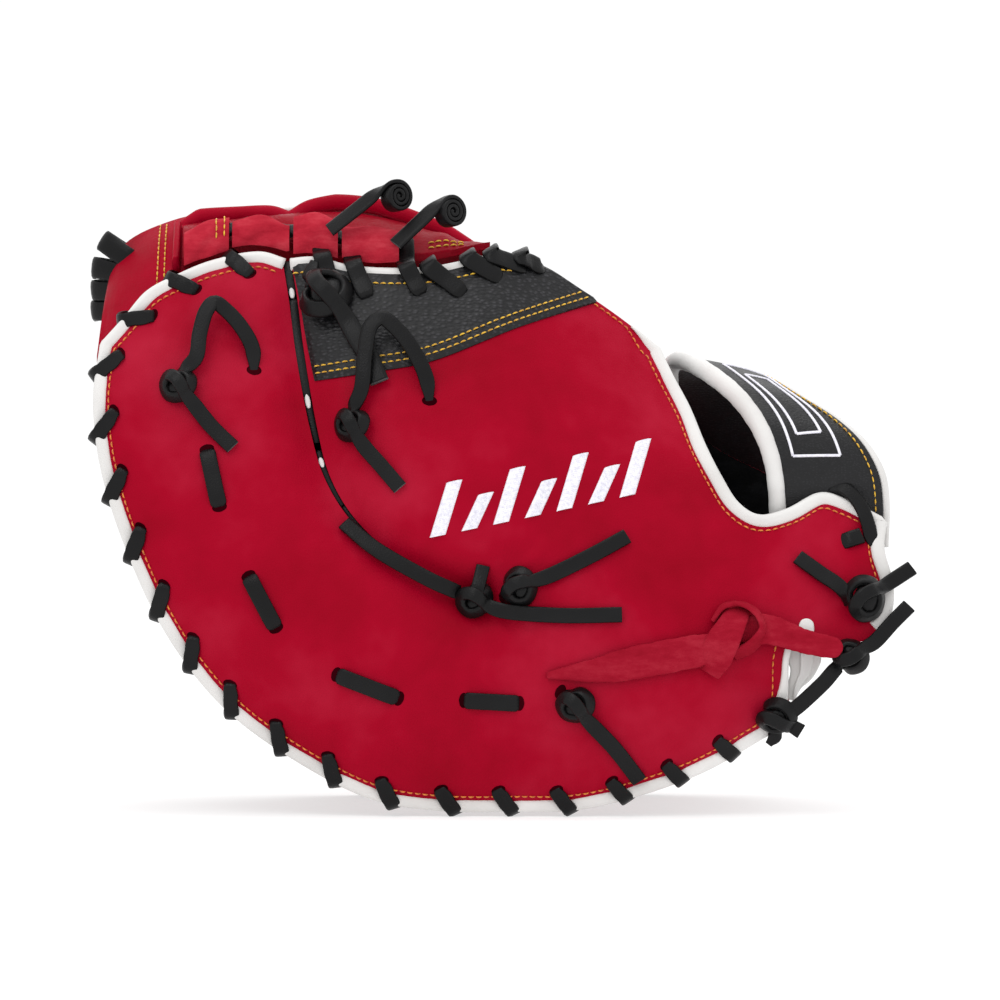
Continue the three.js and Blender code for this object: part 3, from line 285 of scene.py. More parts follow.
def folds(x, z):
    """Wrinkles that fan out below and right of the slit's end, and a slow unevenness of worn leather."""
    dx, dz = x - FOLD_CENTRE[0], z - FOLD_CENTRE[1]
    r = np.hypot(dx, dz)
    angle = np.arctan2(dz, dx)
    fan = np.sin(11 * angle + 0.06 * r) + 0.5 * np.sin(23 * angle - 0.09 * r + 1.3)
    fan = fan * np.exp(-((r - FAN_RADIUS) / FAN_WIDE) ** 2) * smooth(2.6, 1.2, np.abs(angle + 0.7))
    slow = np.sin(x / 21 + 0.7 * np.sin(z / 17)) * np.sin(z / 26 + 0.5 * np.sin(x / 31))
    return FAN_DEEP * fan + WEAR_DEEP * slow


def finger_face(x, z):
    return finger_base(x, z) - folds(x, z)


def thumb_face(x, z):
    return thumb_base(x, z) + WEAR_DEEP * np.sin(x / 23 + 1) * np.sin(z / 19 + np.sin(x / 40))


def on_face(face, x, z):
    """The places in space where a half's leather is, at x and z."""
    return np.stack([x, face(x, z), z], axis=-1)


def face_normal(face, x, z, out):
    """Unit normal of a half's face, out of the mitt: out is -1 on the finger side, 1 on the thumb's."""
    step = 1.2
    dx = (face(x + step, z) - face(x - step, z)) / (2 * step)
    dz = (face(x, z + step) - face(x, z - step)) / (2 * step)
    return unit(np.stack([-dx, np.ones_like(dx), -dz], axis=-1)) * out


# %% [markdown]
# Every piece here is made from grids of points, so three small builders are enough: a sheet with two faces
# and walls, a strip swept along a path with a rounded section, and a row of stitches. Writing the points
# ourselves keeps each seam exactly on the line it belongs to, which a sculpted mesh would lose.

# %% mesh builder
def add_mesh(name, verts, faces, material, nodes=(), marks=None, extra=(), sharp=None):
    """One piece in metres that rides on the mitt's body and stands for its solids."""
    mesh = bpy.data.meshes.new(name)
    mesh.from_pydata(((np.asarray(verts) + FRAME_SHIFT) * MM).tolist(), [], faces)
    mesh.materials.append(material)
    for other in extra:
        mesh.materials.append(other)
    if marks is not None:
        mesh.polygons.foreach_set("material_index", marks)
    mesh.polygons.foreach_set("use_smooth", [True] * len(mesh.polygons))
    if sharp:
        mesh.set_sharp_from_angle(angle=math.radians(sharp))
    mesh.update()
    obj = bpy.data.objects.new(name, mesh)
    bpy.context.scene.collection.objects.link(obj)
    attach(obj, "root")
    if nodes:
        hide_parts(*nodes)
    print(name, len(faces), "faces")
    return obj


# %% sheets
def sheet_parts(front, back, keep=None):
    """Verts and faces of a sheet between two grids of points, with walls round its border and holes."""
    ni, nj = front.shape[0] - 1, front.shape[1] - 1
    there = np.ones((ni, nj), bool) if keep is None else keep
    key = np.arange((ni + 1) * (nj + 1)).reshape(ni + 1, nj + 1)
    size = key.size
    verts = np.vstack([front.reshape(-1, 3), back.reshape(-1, 3)])
    a, b, c, d = key[:-1, :-1], key[1:, :-1], key[1:, 1:], key[:-1, 1:]
    quads = [np.stack([a, b, c, d], -1)[there], np.stack([d, c, b, a], -1)[there] + size]
    pad = np.pad(there, 1)
    sides = [
        (pad[:-2, 1:-1], d, a), (pad[2:, 1:-1], b, c), (pad[1:-1, :-2], a, b), (pad[1:-1, 2:], c, d),
    ]
    for beside, p, q in sides:
        wall = there & ~beside
        quads.append(np.stack([p, p + size, q + size, q], -1)[wall])
    return verts, np.vstack(quads)


def outward(verts, faces):
    """The same faces, turned so that the closed mesh encloses a positive volume."""
    v = np.asarray(verts)
    f = np.asarray(faces)
    volume = np.einsum("ij,ij->i", v[f[:, 0]], np.cross(v[f[:, 1]], v[f[:, 2]])).sum()
    volume += np.einsum("ij,ij->i", v[f[:, 0]], np.cross(v[f[:, 2]], v[f[:, -1]])).sum()
    return f if volume > 0 else f[:, ::-1]


def add_sheet(name, front, back, material, nodes=(), keep=None, sharp=None, lined=None):
    """A sheet as one piece; lined is the material of its back face, where that differs."""
    verts, faces = sheet_parts(front, back, keep)
    used = np.unique(faces)
    index = np.full(len(verts), -1)
    index[used] = np.arange(len(used))
    half_size = front.shape[0] * front.shape[1]
    marks = np.all(faces >= half_size, axis=1).astype(int).tolist() if lined else None
    faces = outward(verts, faces)
    extra = [lined] if lined else []
    return add_mesh(name, verts[used], index[faces].tolist(), material, nodes, marks, extra, sharp)


def grid_normals(p):
    di = np.gradient(p, axis=0)
    dj = np.gradient(p, axis=1)
    return unit(np.cross(di, dj))


# %% strips
def section(corners, square):
    """A rounded section of width 1 and height 1: square 2 is an ellipse, higher is boxier."""
    a = 2 * np.pi * (np.arange(corners) + 0.5) / corners
    c, s = np.cos(a), np.sin(a)
    return np.stack([np.sign(c) * np.abs(c) ** (2 / square), np.sign(s) * np.abs(s) ** (2 / square)], 1) / 2


def strip_parts(path, normals, wide, thick, corners=12, square=5.0):
    """Verts, faces and cut marks of a strip along a path, its flat side facing the given normals."""
    path = np.asarray(path, float)
    n = len(path)
    t = unit(np.gradient(path, axis=0))
    normals = np.broadcast_to(np.asarray(normals, float), path.shape)
    up = unit(normals - t * (normals * t).sum(1, keepdims=True))
    side = np.cross(t, up)
    shape = section(corners, square)
    wide = np.broadcast_to(wide, n)[:, None, None]
    thick = np.broadcast_to(thick, n)[:, None, None]
    across = side[:, None] * shape[None, :, :1] * wide
    rings = path[:, None] + across + up[:, None] * shape[None, :, 1:] * thick
    faces = []
    for i in range(n - 1):
        for k in range(corners):
            m = (k + 1) % corners
            faces.append((i * corners + k, (i + 1) * corners + k, (i + 1) * corners + m, i * corners + m))
    last = (n - 1) * corners
    faces.append(tuple(range(corners)))
    faces.append(tuple(last + k for k in reversed(range(corners))))
    marks = [0] * (len(faces) - 2) + [1, 1]
    return rings.reshape(-1, 3), faces, marks


def merge(parts):
    """Several meshes as one."""
    verts, faces, marks, base = [], [], [], 0
    for v, f, m in parts:
        verts.append(v)
        faces += [tuple(i + base for i in face) for face in f]
        marks += list(m)
        base += len(v)
    return np.vstack(verts), faces, marks


# %% stitches
STITCH_LENGTH = 2.0
STITCH_PITCH = 2.75
STITCH_WIDTH = 0.62


def resample(path, step):
    run = np.concatenate([[0], np.cumsum(np.linalg.norm(np.diff(path, axis=0), axis=1))])
    where = np.arange(0, run[-1], step)
    return np.stack([np.interp(where, run, path[:, k]) for k in range(path.shape[1])], axis=1)


def stitch_parts(path, normals):
    """Short threads along a path that dip into the leather at both ends."""
    both = resample(np.hstack([path, normals]), STITCH_PITCH)
    ahead = unit(np.gradient(both[:, :3], axis=0))
    share = np.linspace(-0.5, 0.5, 6)
    lift = STITCH_WIDTH * (0.55 - 4.2 * share ** 4 * 4)
    wide = STITCH_WIDTH * (1 - 1.2 * share ** 2 * 2)
    parts = []
    for p, n, t in zip(both[:, :3], unit(both[:, 3:]), ahead):
        line = p + t * (share * STITCH_LENGTH)[:, None] + n * lift[:, None]
        parts.append(strip_parts(line, n, wide, STITCH_WIDTH, 6, 2.0))
    return merge(parts)


# %% [markdown]
# Mitt leather is a smooth, waxed hide: dyed through, a little lighter where it is stretched, darker in the
# folds, with a fine pebble of pores. One material function gives that with three noises, and each leather
# on the mitt, red, palm, white and black, only changes its colours, gloss and grain.

# %% material helpers
def new_material(name):
    m = bpy.data.materials.new(name)
    m.use_nodes = True
    m.node_tree.nodes.clear()
    out = m.node_tree.nodes.new("ShaderNodeOutputMaterial")
    shader = m.node_tree.nodes.new("ShaderNodeBsdfPrincipled")
    m.node_tree.links.new(shader.outputs[0], out.inputs[0])
    return m, m.node_tree, shader


def noise(tree, coords, scale, detail=3.0, rough=0.55, squash=None):
    n = tree.nodes.new("ShaderNodeTexNoise")
    n.inputs["Scale"].default_value = scale
    n.inputs["Detail"].default_value = detail
    n.inputs["Roughness"].default_value = rough
    source = coords
    if squash:
        mapping = tree.nodes.new("ShaderNodeMapping")
        mapping.inputs["Scale"].default_value = squash
        tree.links.new(coords, mapping.inputs[0])
        source = mapping.outputs[0]
    tree.links.new(source, n.inputs["Vector"])
    return n.outputs[0]


def ramp(tree, value, stops):
    r = tree.nodes.new("ShaderNodeValToRGB")
    while len(r.color_ramp.elements) < len(stops):
        r.color_ramp.elements.new(0.5)
    for element, (place, colour) in zip(r.color_ramp.elements, stops):
        element.position = place
        element.color = (*colour, 1) if len(colour) == 3 else colour
    tree.links.new(value, r.inputs[0])
    return r.outputs[0]


def spread(tree, value, low, high):
    """A 0 to 1 value spread between two numbers."""
    m = tree.nodes.new("ShaderNodeMapRange")
    m.inputs["From Min"].default_value = 0.3
    m.inputs["From Max"].default_value = 0.7
    m.inputs["To Min"].default_value = low
    m.inputs["To Max"].default_value = high
    tree.links.new(value, m.inputs[0])
    return m.outputs[0]


def bump(tree, height, strength, deep, normal=None):
    b = tree.nodes.new("ShaderNodeBump")
    b.inputs["Strength"].default_value = strength
    b.inputs["Distance"].default_value = deep * MM
    tree.links.new(height, b.inputs["Height"])
    if normal is not None:
        tree.links.new(normal, b.inputs["Normal"])
    return b.outputs[0]


def srgb(r, g, b):
    """A colour read as 0 to 255 in a picture, in linear light."""
    return tuple((v / 255 / 12.92) if v < 11 else ((v / 255 + 0.055) / 1.055) ** 2.4 for v in (r, g, b))


# %% leather
# sizes of the patches of tone, of worn places and of creases, as repeats in a metre
PATCHES, WORN, CREASES = 16, 55, 95


def leather(name, dark, middle, light, gloss, grain=0.9, grain_deep=0.10, crease_deep=0.35, wax=0.10):
    """Dyed leather: patches of tone, fine pores, and shallow creases; grain is the pore's size in mm."""
    m, tree, shader = new_material(name)
    coords = tree.nodes.new("ShaderNodeTexCoord").outputs["Object"]
    patches = noise(tree, coords, PATCHES, 4, 0.6)
    colour = ramp(tree, patches, [(0.30, dark), (0.52, middle), (0.72, light)])
    tree.links.new(colour, shader.inputs["Base Color"])
    worn = noise(tree, coords, WORN, 3)
    tree.links.new(spread(tree, worn, gloss - 0.07, gloss + 0.09), shader.inputs["Roughness"])
    creases = noise(tree, coords, CREASES, 5, 0.62)
    pores = tree.nodes.new("ShaderNodeTexVoronoi")
    pores.inputs["Scale"].default_value = 1 / (grain * MM)
    tree.links.new(coords, pores.inputs["Vector"])
    normal = bump(tree, creases, 0.55, crease_deep)
    normal = bump(tree, pores.outputs["Distance"], 0.6, grain_deep, normal)
    tree.links.new(normal, shader.inputs["Normal"])
    shader.inputs["Specular IOR Level"].default_value = wax
    return m


red_leather = leather("red_leather", srgb(138, 0, 24), srgb(156, 1, 33), srgb(170, 24, 50), gloss=0.44,
                      wax=0.045)
palm_leather = leather("palm_leather", srgb(112, 1, 18), srgb(140, 4, 27), srgb(160, 16, 40), gloss=0.42,
                       grain=1.1, grain_deep=0.14, crease_deep=0.5, wax=0.06)
white_leather = leather("white_leather", srgb(202, 200, 197), srgb(219, 217, 215), srgb(230, 229, 227),
                        gloss=0.45, grain=0.8, grain_deep=0.05, crease_deep=0.12, wax=0.25)
lace_leather = leather("lace_leather", srgb(6, 6, 7), srgb(12, 12, 13), srgb(21, 21, 22), gloss=0.36,
                       grain=0.6, grain_deep=0.10, crease_deep=0.30, wax=0.18)
lace_core = leather("lace_core", srgb(62, 62, 64), srgb(84, 84, 86), srgb(104, 104, 105), gloss=0.8,
                    grain=0.5, grain_deep=0.15, crease_deep=0.3)
# painted shade: dark red for the ovals that stand for the shade in the hollows round the lace holes
hole_shade_paint = leather("hole_shade_paint", srgb(30, 2, 6), srgb(44, 3, 10), srgb(60, 6, 14), gloss=0.8, wax=0.0)

# %% [markdown]
# The panel over the finger tips and the wrist strap are embossed with a plate of small round scales. The
# scales are the cells of a cellular texture that bumps them and also paints them: a painted highlight on each
# scale's raised middle and painted shade in the lines between, which reads as embossing at any distance
# without a single extra face.

# %% embossed leather
def embossed(name, dark, light, cell, deep):
    """Leather with round scales, cell mm apart and deep mm high, with a painted highlight on each scale and
    painted shade between.
    """
    m, tree, shader = new_material(name)
    coords = tree.nodes.new("ShaderNodeTexCoord").outputs["Object"]
    wander = noise(tree, coords, 140, 2)
    cells = tree.nodes.new("ShaderNodeTexVoronoi")
    cells.inputs["Scale"].default_value = 1 / (cell * MM)
    cells.inputs["Randomness"].default_value = 0.75
    longer = tree.nodes.new("ShaderNodeMapping")
    longer.inputs["Scale"].default_value = (0.7, 1, 1.25)
    tree.links.new(coords, longer.inputs[0])
    tree.links.new(longer.outputs[0], cells.inputs["Vector"])
    # painted highlight on each scale's middle, painted shade in the lines between the scales
    colour = ramp(tree, cells.outputs["Distance"], [(0.0, light), (0.42, dark), (1.0, dark)])
    tree.links.new(colour, shader.inputs["Base Color"])
    tree.links.new(spread(tree, wander, 0.36, 0.52), shader.inputs["Roughness"])
    heights = [(0.0, (1, 1, 1)), (0.55, (0.25, 0.25, 0.25)), (0.8, (0, 0, 0))]
    dome = ramp(tree, cells.outputs["Distance"], heights)
    tree.links.new(bump(tree, dome, 0.8, deep), shader.inputs["Normal"])
    shader.inputs["Specular IOR Level"].default_value = 0.30
    return m


# both leathers get the scales' painted highlight and painted shade
black_panel = embossed("embossed_black", srgb(17, 17, 19), srgb(56, 55, 59), cell=1.55, deep=0.28)
strap_leather = embossed("strap_black", srgb(18, 18, 20), srgb(38, 38, 41), cell=0.8, deep=0.12)

# %% [markdown]
# Suede is the same hide with its flesh side out. A short nap scatters light, so it has no gloss but a soft
# sheen, and it is streaked where a hand brushed it. Thread is twisted; its colour has a painted highlight on
# the crown of each ply and painted shade between, from one noise that drives the colour and the bump
# together.

# %% suede and thread
def suede(name, dark, middle, light):
    """Brushed leather: short matt nap, streaked where a finger passed."""
    m, tree, shader = new_material(name)
    coords = tree.nodes.new("ShaderNodeTexCoord").outputs["Object"]
    streaks = noise(tree, coords, 60, 6, 0.7, (1, 1, 2.5))
    colour = ramp(tree, streaks, [(0.28, dark), (0.5, middle), (0.75, light)])
    tree.links.new(colour, shader.inputs["Base Color"])
    nap = noise(tree, coords, 1500, 2, 0.7)
    tree.links.new(bump(tree, nap, 0.55, 0.25), shader.inputs["Normal"])
    shader.inputs["Roughness"].default_value = 0.92
    shader.inputs["Specular IOR Level"].default_value = 0.05
    shader.inputs["Sheen Weight"].default_value = 0.16
    shader.inputs["Sheen Roughness"].default_value = 0.45
    shader.inputs["Sheen Tint"].default_value = (*light, 1)
    return m


def thread(name, colour, painted_shade):
    """Twisted thread: painted highlight on the crown, painted shade between the plies."""
    m, tree, shader = new_material(name)
    coords = tree.nodes.new("ShaderNodeTexCoord").outputs["Object"]
    twist = noise(tree, coords, 900, 2)
    # the noise paints a highlight on the crowns and shade between the plies
    tree.links.new(ramp(tree, twist, [(0.3, painted_shade), (0.6, colour)]), shader.inputs["Base Color"])
    tree.links.new(bump(tree, twist, 0.4, 0.12), shader.inputs["Normal"])
    shader.inputs["Roughness"].default_value = 0.5
    shader.inputs["Sheen Weight"].default_value = 0.2
    return m


red_suede = suede("red_suede", srgb(150, 24, 40), srgb(174, 38, 54), srgb(196, 66, 78))
tie_suede = suede("tie_suede", srgb(134, 12, 30), srgb(150, 20, 40), srgb(170, 42, 58))
lining_fleece = suede("lining_fleece", srgb(7, 7, 8), srgb(14, 14, 15), srgb(30, 30, 32))
# the second colour of each thread is the painted shade between its plies
gold_thread = thread("gold_thread", srgb(236, 190, 40), srgb(180, 120, 20))
orange_thread = thread("orange_thread", srgb(226, 130, 30), srgb(178, 80, 20))
white_thread = thread("white_thread", srgb(240, 239, 246), srgb(216, 214, 228))
print(len(bpy.data.materials), "materials")

# %% [markdown]
# The finger half's shell is one hide with the slit cut into it from the tip. Two patches share the slit's
# line, so the mesh rows follow both the laced edge and the slit, and the row of faces on the slit is left
# out as far as the cut goes. The lips turn inwards a little, as leather does at an unbound cut.

# %% finger shell
def at(line, t):
    v = np.clip(t, 0, 1) * (len(line) - 1)
    i = np.minimum(np.floor(v).astype(int), len(line) - 2)
    return mix(line[i], line[i + 1], (v - i)[..., None])


def fill_patch(a, b, first, last, s, t):
    """The point at shares s along and t across of a patch between four lines."""
    s, t = np.broadcast_arrays(s, t)
    corner = ((1 - s) * (1 - t))[..., None] * a[0] + (s * (1 - t))[..., None] * a[-1]
    corner = corner + ((1 - s) * t)[..., None] * b[0] + (s * t)[..., None] * b[-1]
    across = (1 - t)[..., None] * at(a, s) + t[..., None] * at(b, s)
    ends = (1 - s)[..., None] * at(first, t) + s[..., None] * at(last, t)
    return across + ends - corner


ALONG, OUTER_ROWS, INNER_ROWS = 230, 52, 74
# how far the raw edge stays inside the outline, under the binding
TUCK = 1.8
# rough lengths in mm of the laced edge, of the slit's line and of the opening, to space the two ends
EDGE_RUN, SLIT_RUN, OPEN_RUN = 345, 270, 150
s_rows = np.linspace(0, 1, ALONG + 1)[:, None]
slit_at_rows = at(slit_line, s_rows[:, 0])
outer_wide = np.linalg.norm(at(edge_line, s_rows[:, 0]) - slit_at_rows, axis=1)[:, None]
inner_wide = np.linalg.norm(at(open_line, s_rows[:, 0]) - slit_at_rows, axis=1)[:, None]
gap = SLIT_GAP * mix(1.0, 0.55, smooth(0.12, 0.40, s_rows))
t_outer = mix(TUCK / outer_wide, 1 - gap / 2 / outer_wide, np.linspace(0, 1, OUTER_ROWS + 1)[None])
t_inner = mix(gap / 2 / inner_wide, 1 - TUCK / inner_wide, np.linspace(0, 1, INNER_ROWS + 1)[None])
long_outer = mix(EDGE_RUN, SLIT_RUN, t_outer)
long_inner = mix(SLIT_RUN, OPEN_RUN, t_inner)
s_outer = mix(TUCK / long_outer, 1 - TUCK / long_outer, s_rows)
s_inner = mix(1.0 / long_inner, 1 - TUCK / long_inner, s_rows)
outer_xz = fill_patch(edge_line, slit_line, tip_line, heel_line, s_outer, t_outer)
inner_xz = fill_patch(slit_line, open_line, top_line, tab_line, s_inner, t_inner)
shell_xz = np.concatenate([outer_xz, inner_xz], axis=1)
shell_front = on_face(finger_face, shell_xz[..., 0], shell_xz[..., 1])
kept = np.ones((ALONG, OUTER_ROWS + INNER_ROWS + 1), bool)
kept[:, OUTER_ROWS] = (np.arange(ALONG) + 0.5) / ALONG > SLIT_END
add_sheet("finger_shell", shell_front, shell_front + [0, SHELL, 0], red_leather,
          ["finger_back_shell"], kept, sharp=50, lined=lining_fleece)

# %% [markdown]
# White binding is a strip of leather folded over the raw edge and sewn through. It is swept along the
# outline with a soft rectangular section. Each lace that crosses it pulls it in slightly, so its width
# dips at every wrap. A row of orange thread runs just inside it.

# %% edge paths
# points of the heel's and the tab's line that are bound, and of the thumb's top line up to the web's end
HEEL_BOUND, TAB_BOUND, WEB_END = 50, 36, 66


def half(line):
    """Every other point of a line, which is smooth enough for a path."""
    return line[::2]


edge_path = np.vstack([half(tip_line)[::-1], half(edge_line)[1:], half(heel_line)[1:HEEL_BOUND]])
top_path = np.vstack([half(top_line), half(open_line)[1:], half(tab_line)[::-1][1:TAB_BOUND]])
thumb_path = np.vstack([half(thumb_top[:WEB_END])[::-1], half(thumb_low)[1:]])


def path_length(path):
    return float(np.linalg.norm(np.diff(path, axis=0), axis=1).sum())


# mm before and after a place over which its direction is read
AHEAD = 2.5


def station(path, d):
    """Place, forward direction and inward normal at distance d along a path of x and z."""
    run = np.concatenate([[0], np.cumsum(np.linalg.norm(np.diff(path, axis=0), axis=1))])
    d = np.asarray(d, float)

    def place(v):
        return np.stack([np.interp(v, run, path[:, 0]), np.interp(v, run, path[:, 1])], axis=-1)

    t = unit(place(np.minimum(d + AHEAD, run[-1])) - place(np.maximum(d - AHEAD, 0)))
    return place(d), t, np.stack([-t[..., 1], t[..., 0]], axis=-1)


# where the laces cross the edges, in mm along each path: long steps, then the shorter ones at the heel
FIRST_WRAP, WRAP_PITCH, HEEL_PITCH = 18.9, 22.66, 21.0
LONG_STEPS, EDGE_WRAPS = 13, 19
edge_wraps = [FIRST_WRAP + WRAP_PITCH * min(k, LONG_STEPS) + HEEL_PITCH * max(k - LONG_STEPS, 0)
              for k in range(EDGE_WRAPS)]
# on the thumb side a few turns stand close together at the fingertips, the others far apart
TIP_WRAPS, TIP_START, TIP_PITCH = 4, 138, 7.4
THUMB_WRAPS, THUMB_START, THUMB_PITCH = 16, 193.5, 26.5
thumb_wraps = [TIP_START + TIP_PITCH * k for k in range(TIP_WRAPS)]
thumb_wraps += [THUMB_START + THUMB_PITCH * k for k in range(THUMB_WRAPS - TIP_WRAPS)]
print(len(edge_wraps), "turns on the finger side and", len(thumb_wraps), "on the thumb side")

# %% bindings
def binding(name, path, start, end, side, face, out, wraps, nodes, lead_in=0.0, narrow_end=0.0):
    """A folded strip along a path, from start to end in mm.

    side says on which hand the leather lies, out which way the face looks, wraps where laces cross it.
    """
    d = np.linspace(start, end, int((end - start) / 1.3))
    p, _, n = station(path, d)
    pull = sum(np.exp(-((d - w) / 3.5) ** 2) for w in wraps) + 0 * d
    wave = 1 + 0.03 * np.sin(d / 7) + 0.02 * np.sin(d / 2.9)
    wide = BIND_WIDTH * wave * (1 - 0.10 * pull) * (1 - narrow_end * smooth(end - 26, end - 10, d))
    wide = wide * (0.2 + 0.8 * smooth(start - 0.5, start + lead_in, d))
    middle = p + side * n * wide[:, None] / 2
    face_y = face(middle[:, 0], middle[:, 1])
    rows = np.stack([middle[:, 0], face_y - out * 1.0, middle[:, 1]], axis=1)
    facing = np.stack([np.zeros_like(d), np.full_like(d, out), np.zeros_like(d)], axis=1)
    parts = strip_parts(rows, facing, wide, (BIND_DEPTH + 0.6) * (1 - 0.12 * pull), 16, 3.2)
    add_mesh(name, parts[0], parts[1], white_leather, nodes)


edge_long, top_long, thumb_long = path_length(edge_path), path_length(top_path), path_length(thumb_path)
binding("edge_welt", edge_path, 0, edge_long, 1, finger_face, -1, edge_wraps, ["edge_binding"],
        narrow_end=0.5)
binding("top_welt", top_path, 1.5, 78, -1, finger_face, -1, [], ["top_binding"])
binding("opening_welt", top_path, 134, top_long, -1, finger_face, -1, [], ["opening_binding"], lead_in=16.0)
binding("thumb_welt", thumb_path, 46, thumb_long - 5, 1, thumb_face, 1, thumb_wraps, ["thumb_binding"])

# %% [markdown]
# A binding is sewn through with one row of thick orange thread, just inside it. Each stitch is a short
# thread of its own that dives into the leather at both ends, so the row is a chain of small real meshes,
# which catches the light as thread does and needs no picture of stitches.

# %% edge stitching
# how far a row runs from the edge where there is no binding, and the mm over which it moves there
BARE_INSET, BARE_BLEND = 2.0, 14


def sewn_line(path, start, end, side, inset, face, out, bare=0.0):
    """Points and normals of a sewn line beside a path; it runs close to the edge where that is bare."""
    d = np.linspace(start, end, int(end - start))
    p, _, n = station(path, d)
    bound = smooth(start + bare, start + bare + BARE_BLEND, d)
    row = p + side * n * mix(BARE_INSET, inset, bound)[:, None]
    return on_face(face, *row.T), face_normal(face, row[:, 0], row[:, 1], out)


def sew(name, lines, material):
    """Rows of stitches as one piece; each line is its points and their normals."""
    parts = merge([stitch_parts(points, normals) for points, normals in lines])
    add_mesh(name, parts[0], parts[1], material)


INSET = BIND_WIDTH + 0.8
sew("edge_stitching", [
    sewn_line(edge_path, 3, edge_long - 3, 1, INSET, finger_face, -1, -BARE_BLEND),
    sewn_line(top_path, 119, top_long - 2, -1, INSET, finger_face, -1, 12),
    sewn_line(thumb_path, 50, thumb_long - 8, 1, INSET, thumb_face, 1, -BARE_BLEND),
], orange_thread)

# %% [markdown]
# The panel over the tip of the inner section is a second hide laid on the shell. Its left side follows the
# slit, its top goes under the binding, and its low edge is sewn with two rows of yellow thread. A patch
# between those four lines puts it exactly on the shell, a leather's thickness proud.

# %% tip panel
PANEL_LOW = [(-0.2215, 0.780), (-0.150, 0.797), (-0.084, 0.815), (0.024, 0.877), (0.116, 0.919)]
PANEL_THICK = 1.3
# where the top line starts, at the slit's mouth, and where the panel's right end is, as shares of length
SLIT_MOUTH, PANEL_END = -0.2585, 0.119
panel_low = outline(PANEL_LOW)
over_panel = (top_line[:, 0] > SLIT_MOUTH * LENGTH + 0.6) & (top_line[:, 0] < PANEL_END * LENGTH)
panel_top = top_line[over_panel] - [0, 1.0]
share = np.linspace(0, 1, 40)
side_z = mix(panel_low[0, 1], panel_top[0, 1], share)
side_x = np.interp(-side_z, -slit_line[:, 1], slit_line[:, 0]) + mix(4.0, 1.7, share)
panel_left = np.stack([side_x, side_z], axis=1)
panel_low = np.vstack([panel_left[:1], panel_low[1:]])
panel_top = np.vstack([panel_left[-1:], panel_top[2:]])
panel_right = mix(panel_low[-1], panel_top[-1], share[:, None])
PANEL_ALONG, PANEL_UP = 130, 44
# the panel is skived thin towards its border, over one part in so many of its length and of its height
SKIVED_ENDS, SKIVED_SIDES = 60, 18
ps = np.linspace(0, 1, PANEL_ALONG + 1)[:, None]
pt = np.linspace(0, 1, PANEL_UP + 1)[None]
panel_xz = fill_patch(panel_low, panel_top, panel_left, panel_right, ps, pt)
px, pz = panel_xz[..., 0], panel_xz[..., 1]
rim_share = np.minimum(np.minimum(ps, 1 - ps) * SKIVED_ENDS, np.minimum(pt, 1 - pt) * SKIVED_SIDES)
panel_lift = PANEL_THICK * (0.45 + 0.55 * smooth(0, 1, rim_share))
panel_normal = face_normal(finger_face, px, pz, -1)
panel_base = on_face(finger_face, px, pz)
panel_front = panel_base + panel_normal * panel_lift[..., None]
add_sheet("embossed_panel", panel_front, panel_base + panel_normal * 0.05, black_panel,
          ["tip_panel"], sharp=60)


# %% panel stitching
def on_panel(row):
    """Places and normals on the panel's face over a row of x and z."""
    out = face_normal(finger_face, row[:, 0], row[:, 1], -1)
    return on_face(finger_face, *row.T) + out * PANEL_THICK, out


def beside_panel_edge(up):
    """A line at a fixed distance above the panel's low edge, as far as it stays below the top line."""
    p, _, n = station(panel_low, np.linspace(2.0, path_length(panel_low) - 2.0, 200))
    row = p + n * up
    return on_panel(row[row[:, 1] < height_at(top_line, row[:, 0]) - 2.0])


def under_top_binding(inside):
    """A line along the top edge, a distance inside it."""
    p, _, n = station(top_path, np.linspace(3, 84, 120))
    return on_panel(p - n * inside)


# mm above the panel's low edge of the two rows there
LOW_ROW, SECOND_ROW = 2.3, 4.8
panel_rows = [beside_panel_edge(LOW_ROW), beside_panel_edge(SECOND_ROW), under_top_binding(INSET + 0.6)]
sew("panel_stitching", panel_rows, gold_thread)

# %% [markdown]
# The thumb half's shell is seen from behind. It is the finger half's twin without a slit, so one patch
# between its low and its top line is enough, with the same thickness and the same leather.

# %% thumb shell
def inset(line, side, d):
    """A line moved sideways by d mm."""
    t = unit(np.vstack([line[1:2] - line[:1], line[2:] - line[:-2], line[-1:] - line[-2:-1]]))
    return line + side * d * np.stack([-t[:, 1], t[:, 0]], axis=1)


far_low_in = inset(thumb_low, 1, TUCK)
# the top line has no binding right of the web's end, so the leather comes nearer to it there
bare_top = smooth(WEB_END - 6, WEB_END + 2, np.arange(len(thumb_top)))[:, None]
far_up_in = inset(thumb_top, -1, 1.0) * bare_top + inset(thumb_top, -1, TUCK) * (1 - bare_top)
THUMB_ALONG, THUMB_UP, THUMB_RIGHT = 190, 80, 0.333
ts = np.linspace(0, 1, THUMB_ALONG + 1)
thumb_left = far_low_in[:, 0].min() + 0.5
tx = mix(thumb_left, THUMB_RIGHT * LENGTH, mix(ts, 1 - np.cos(np.pi * 0.5 * ts), 0.4))[:, None]
tz = mix(height_at(far_low_in, tx), height_at(far_up_in, tx), np.linspace(0, 1, THUMB_UP + 1)[None])
tx = np.broadcast_to(tx, tz.shape)
thumb_front = on_face(thumb_face, tx, tz)
add_sheet("thumb_shell", thumb_front, thumb_front - [0, SHELL, 0], red_leather,
          ["thumb_back_shell"], sharp=50, lined=lining_fleece)

# %% [markdown]
# The palm is one thick pad of two leathers with felt between. It leaves the finger side's edge, passes under
# the hand and ends at the thumb side's edge; past the crotch it parts into two leaves with the web between.
# Its hand side keeps the hand's room from the shells, and its ball side is offset by the pad's thickness.

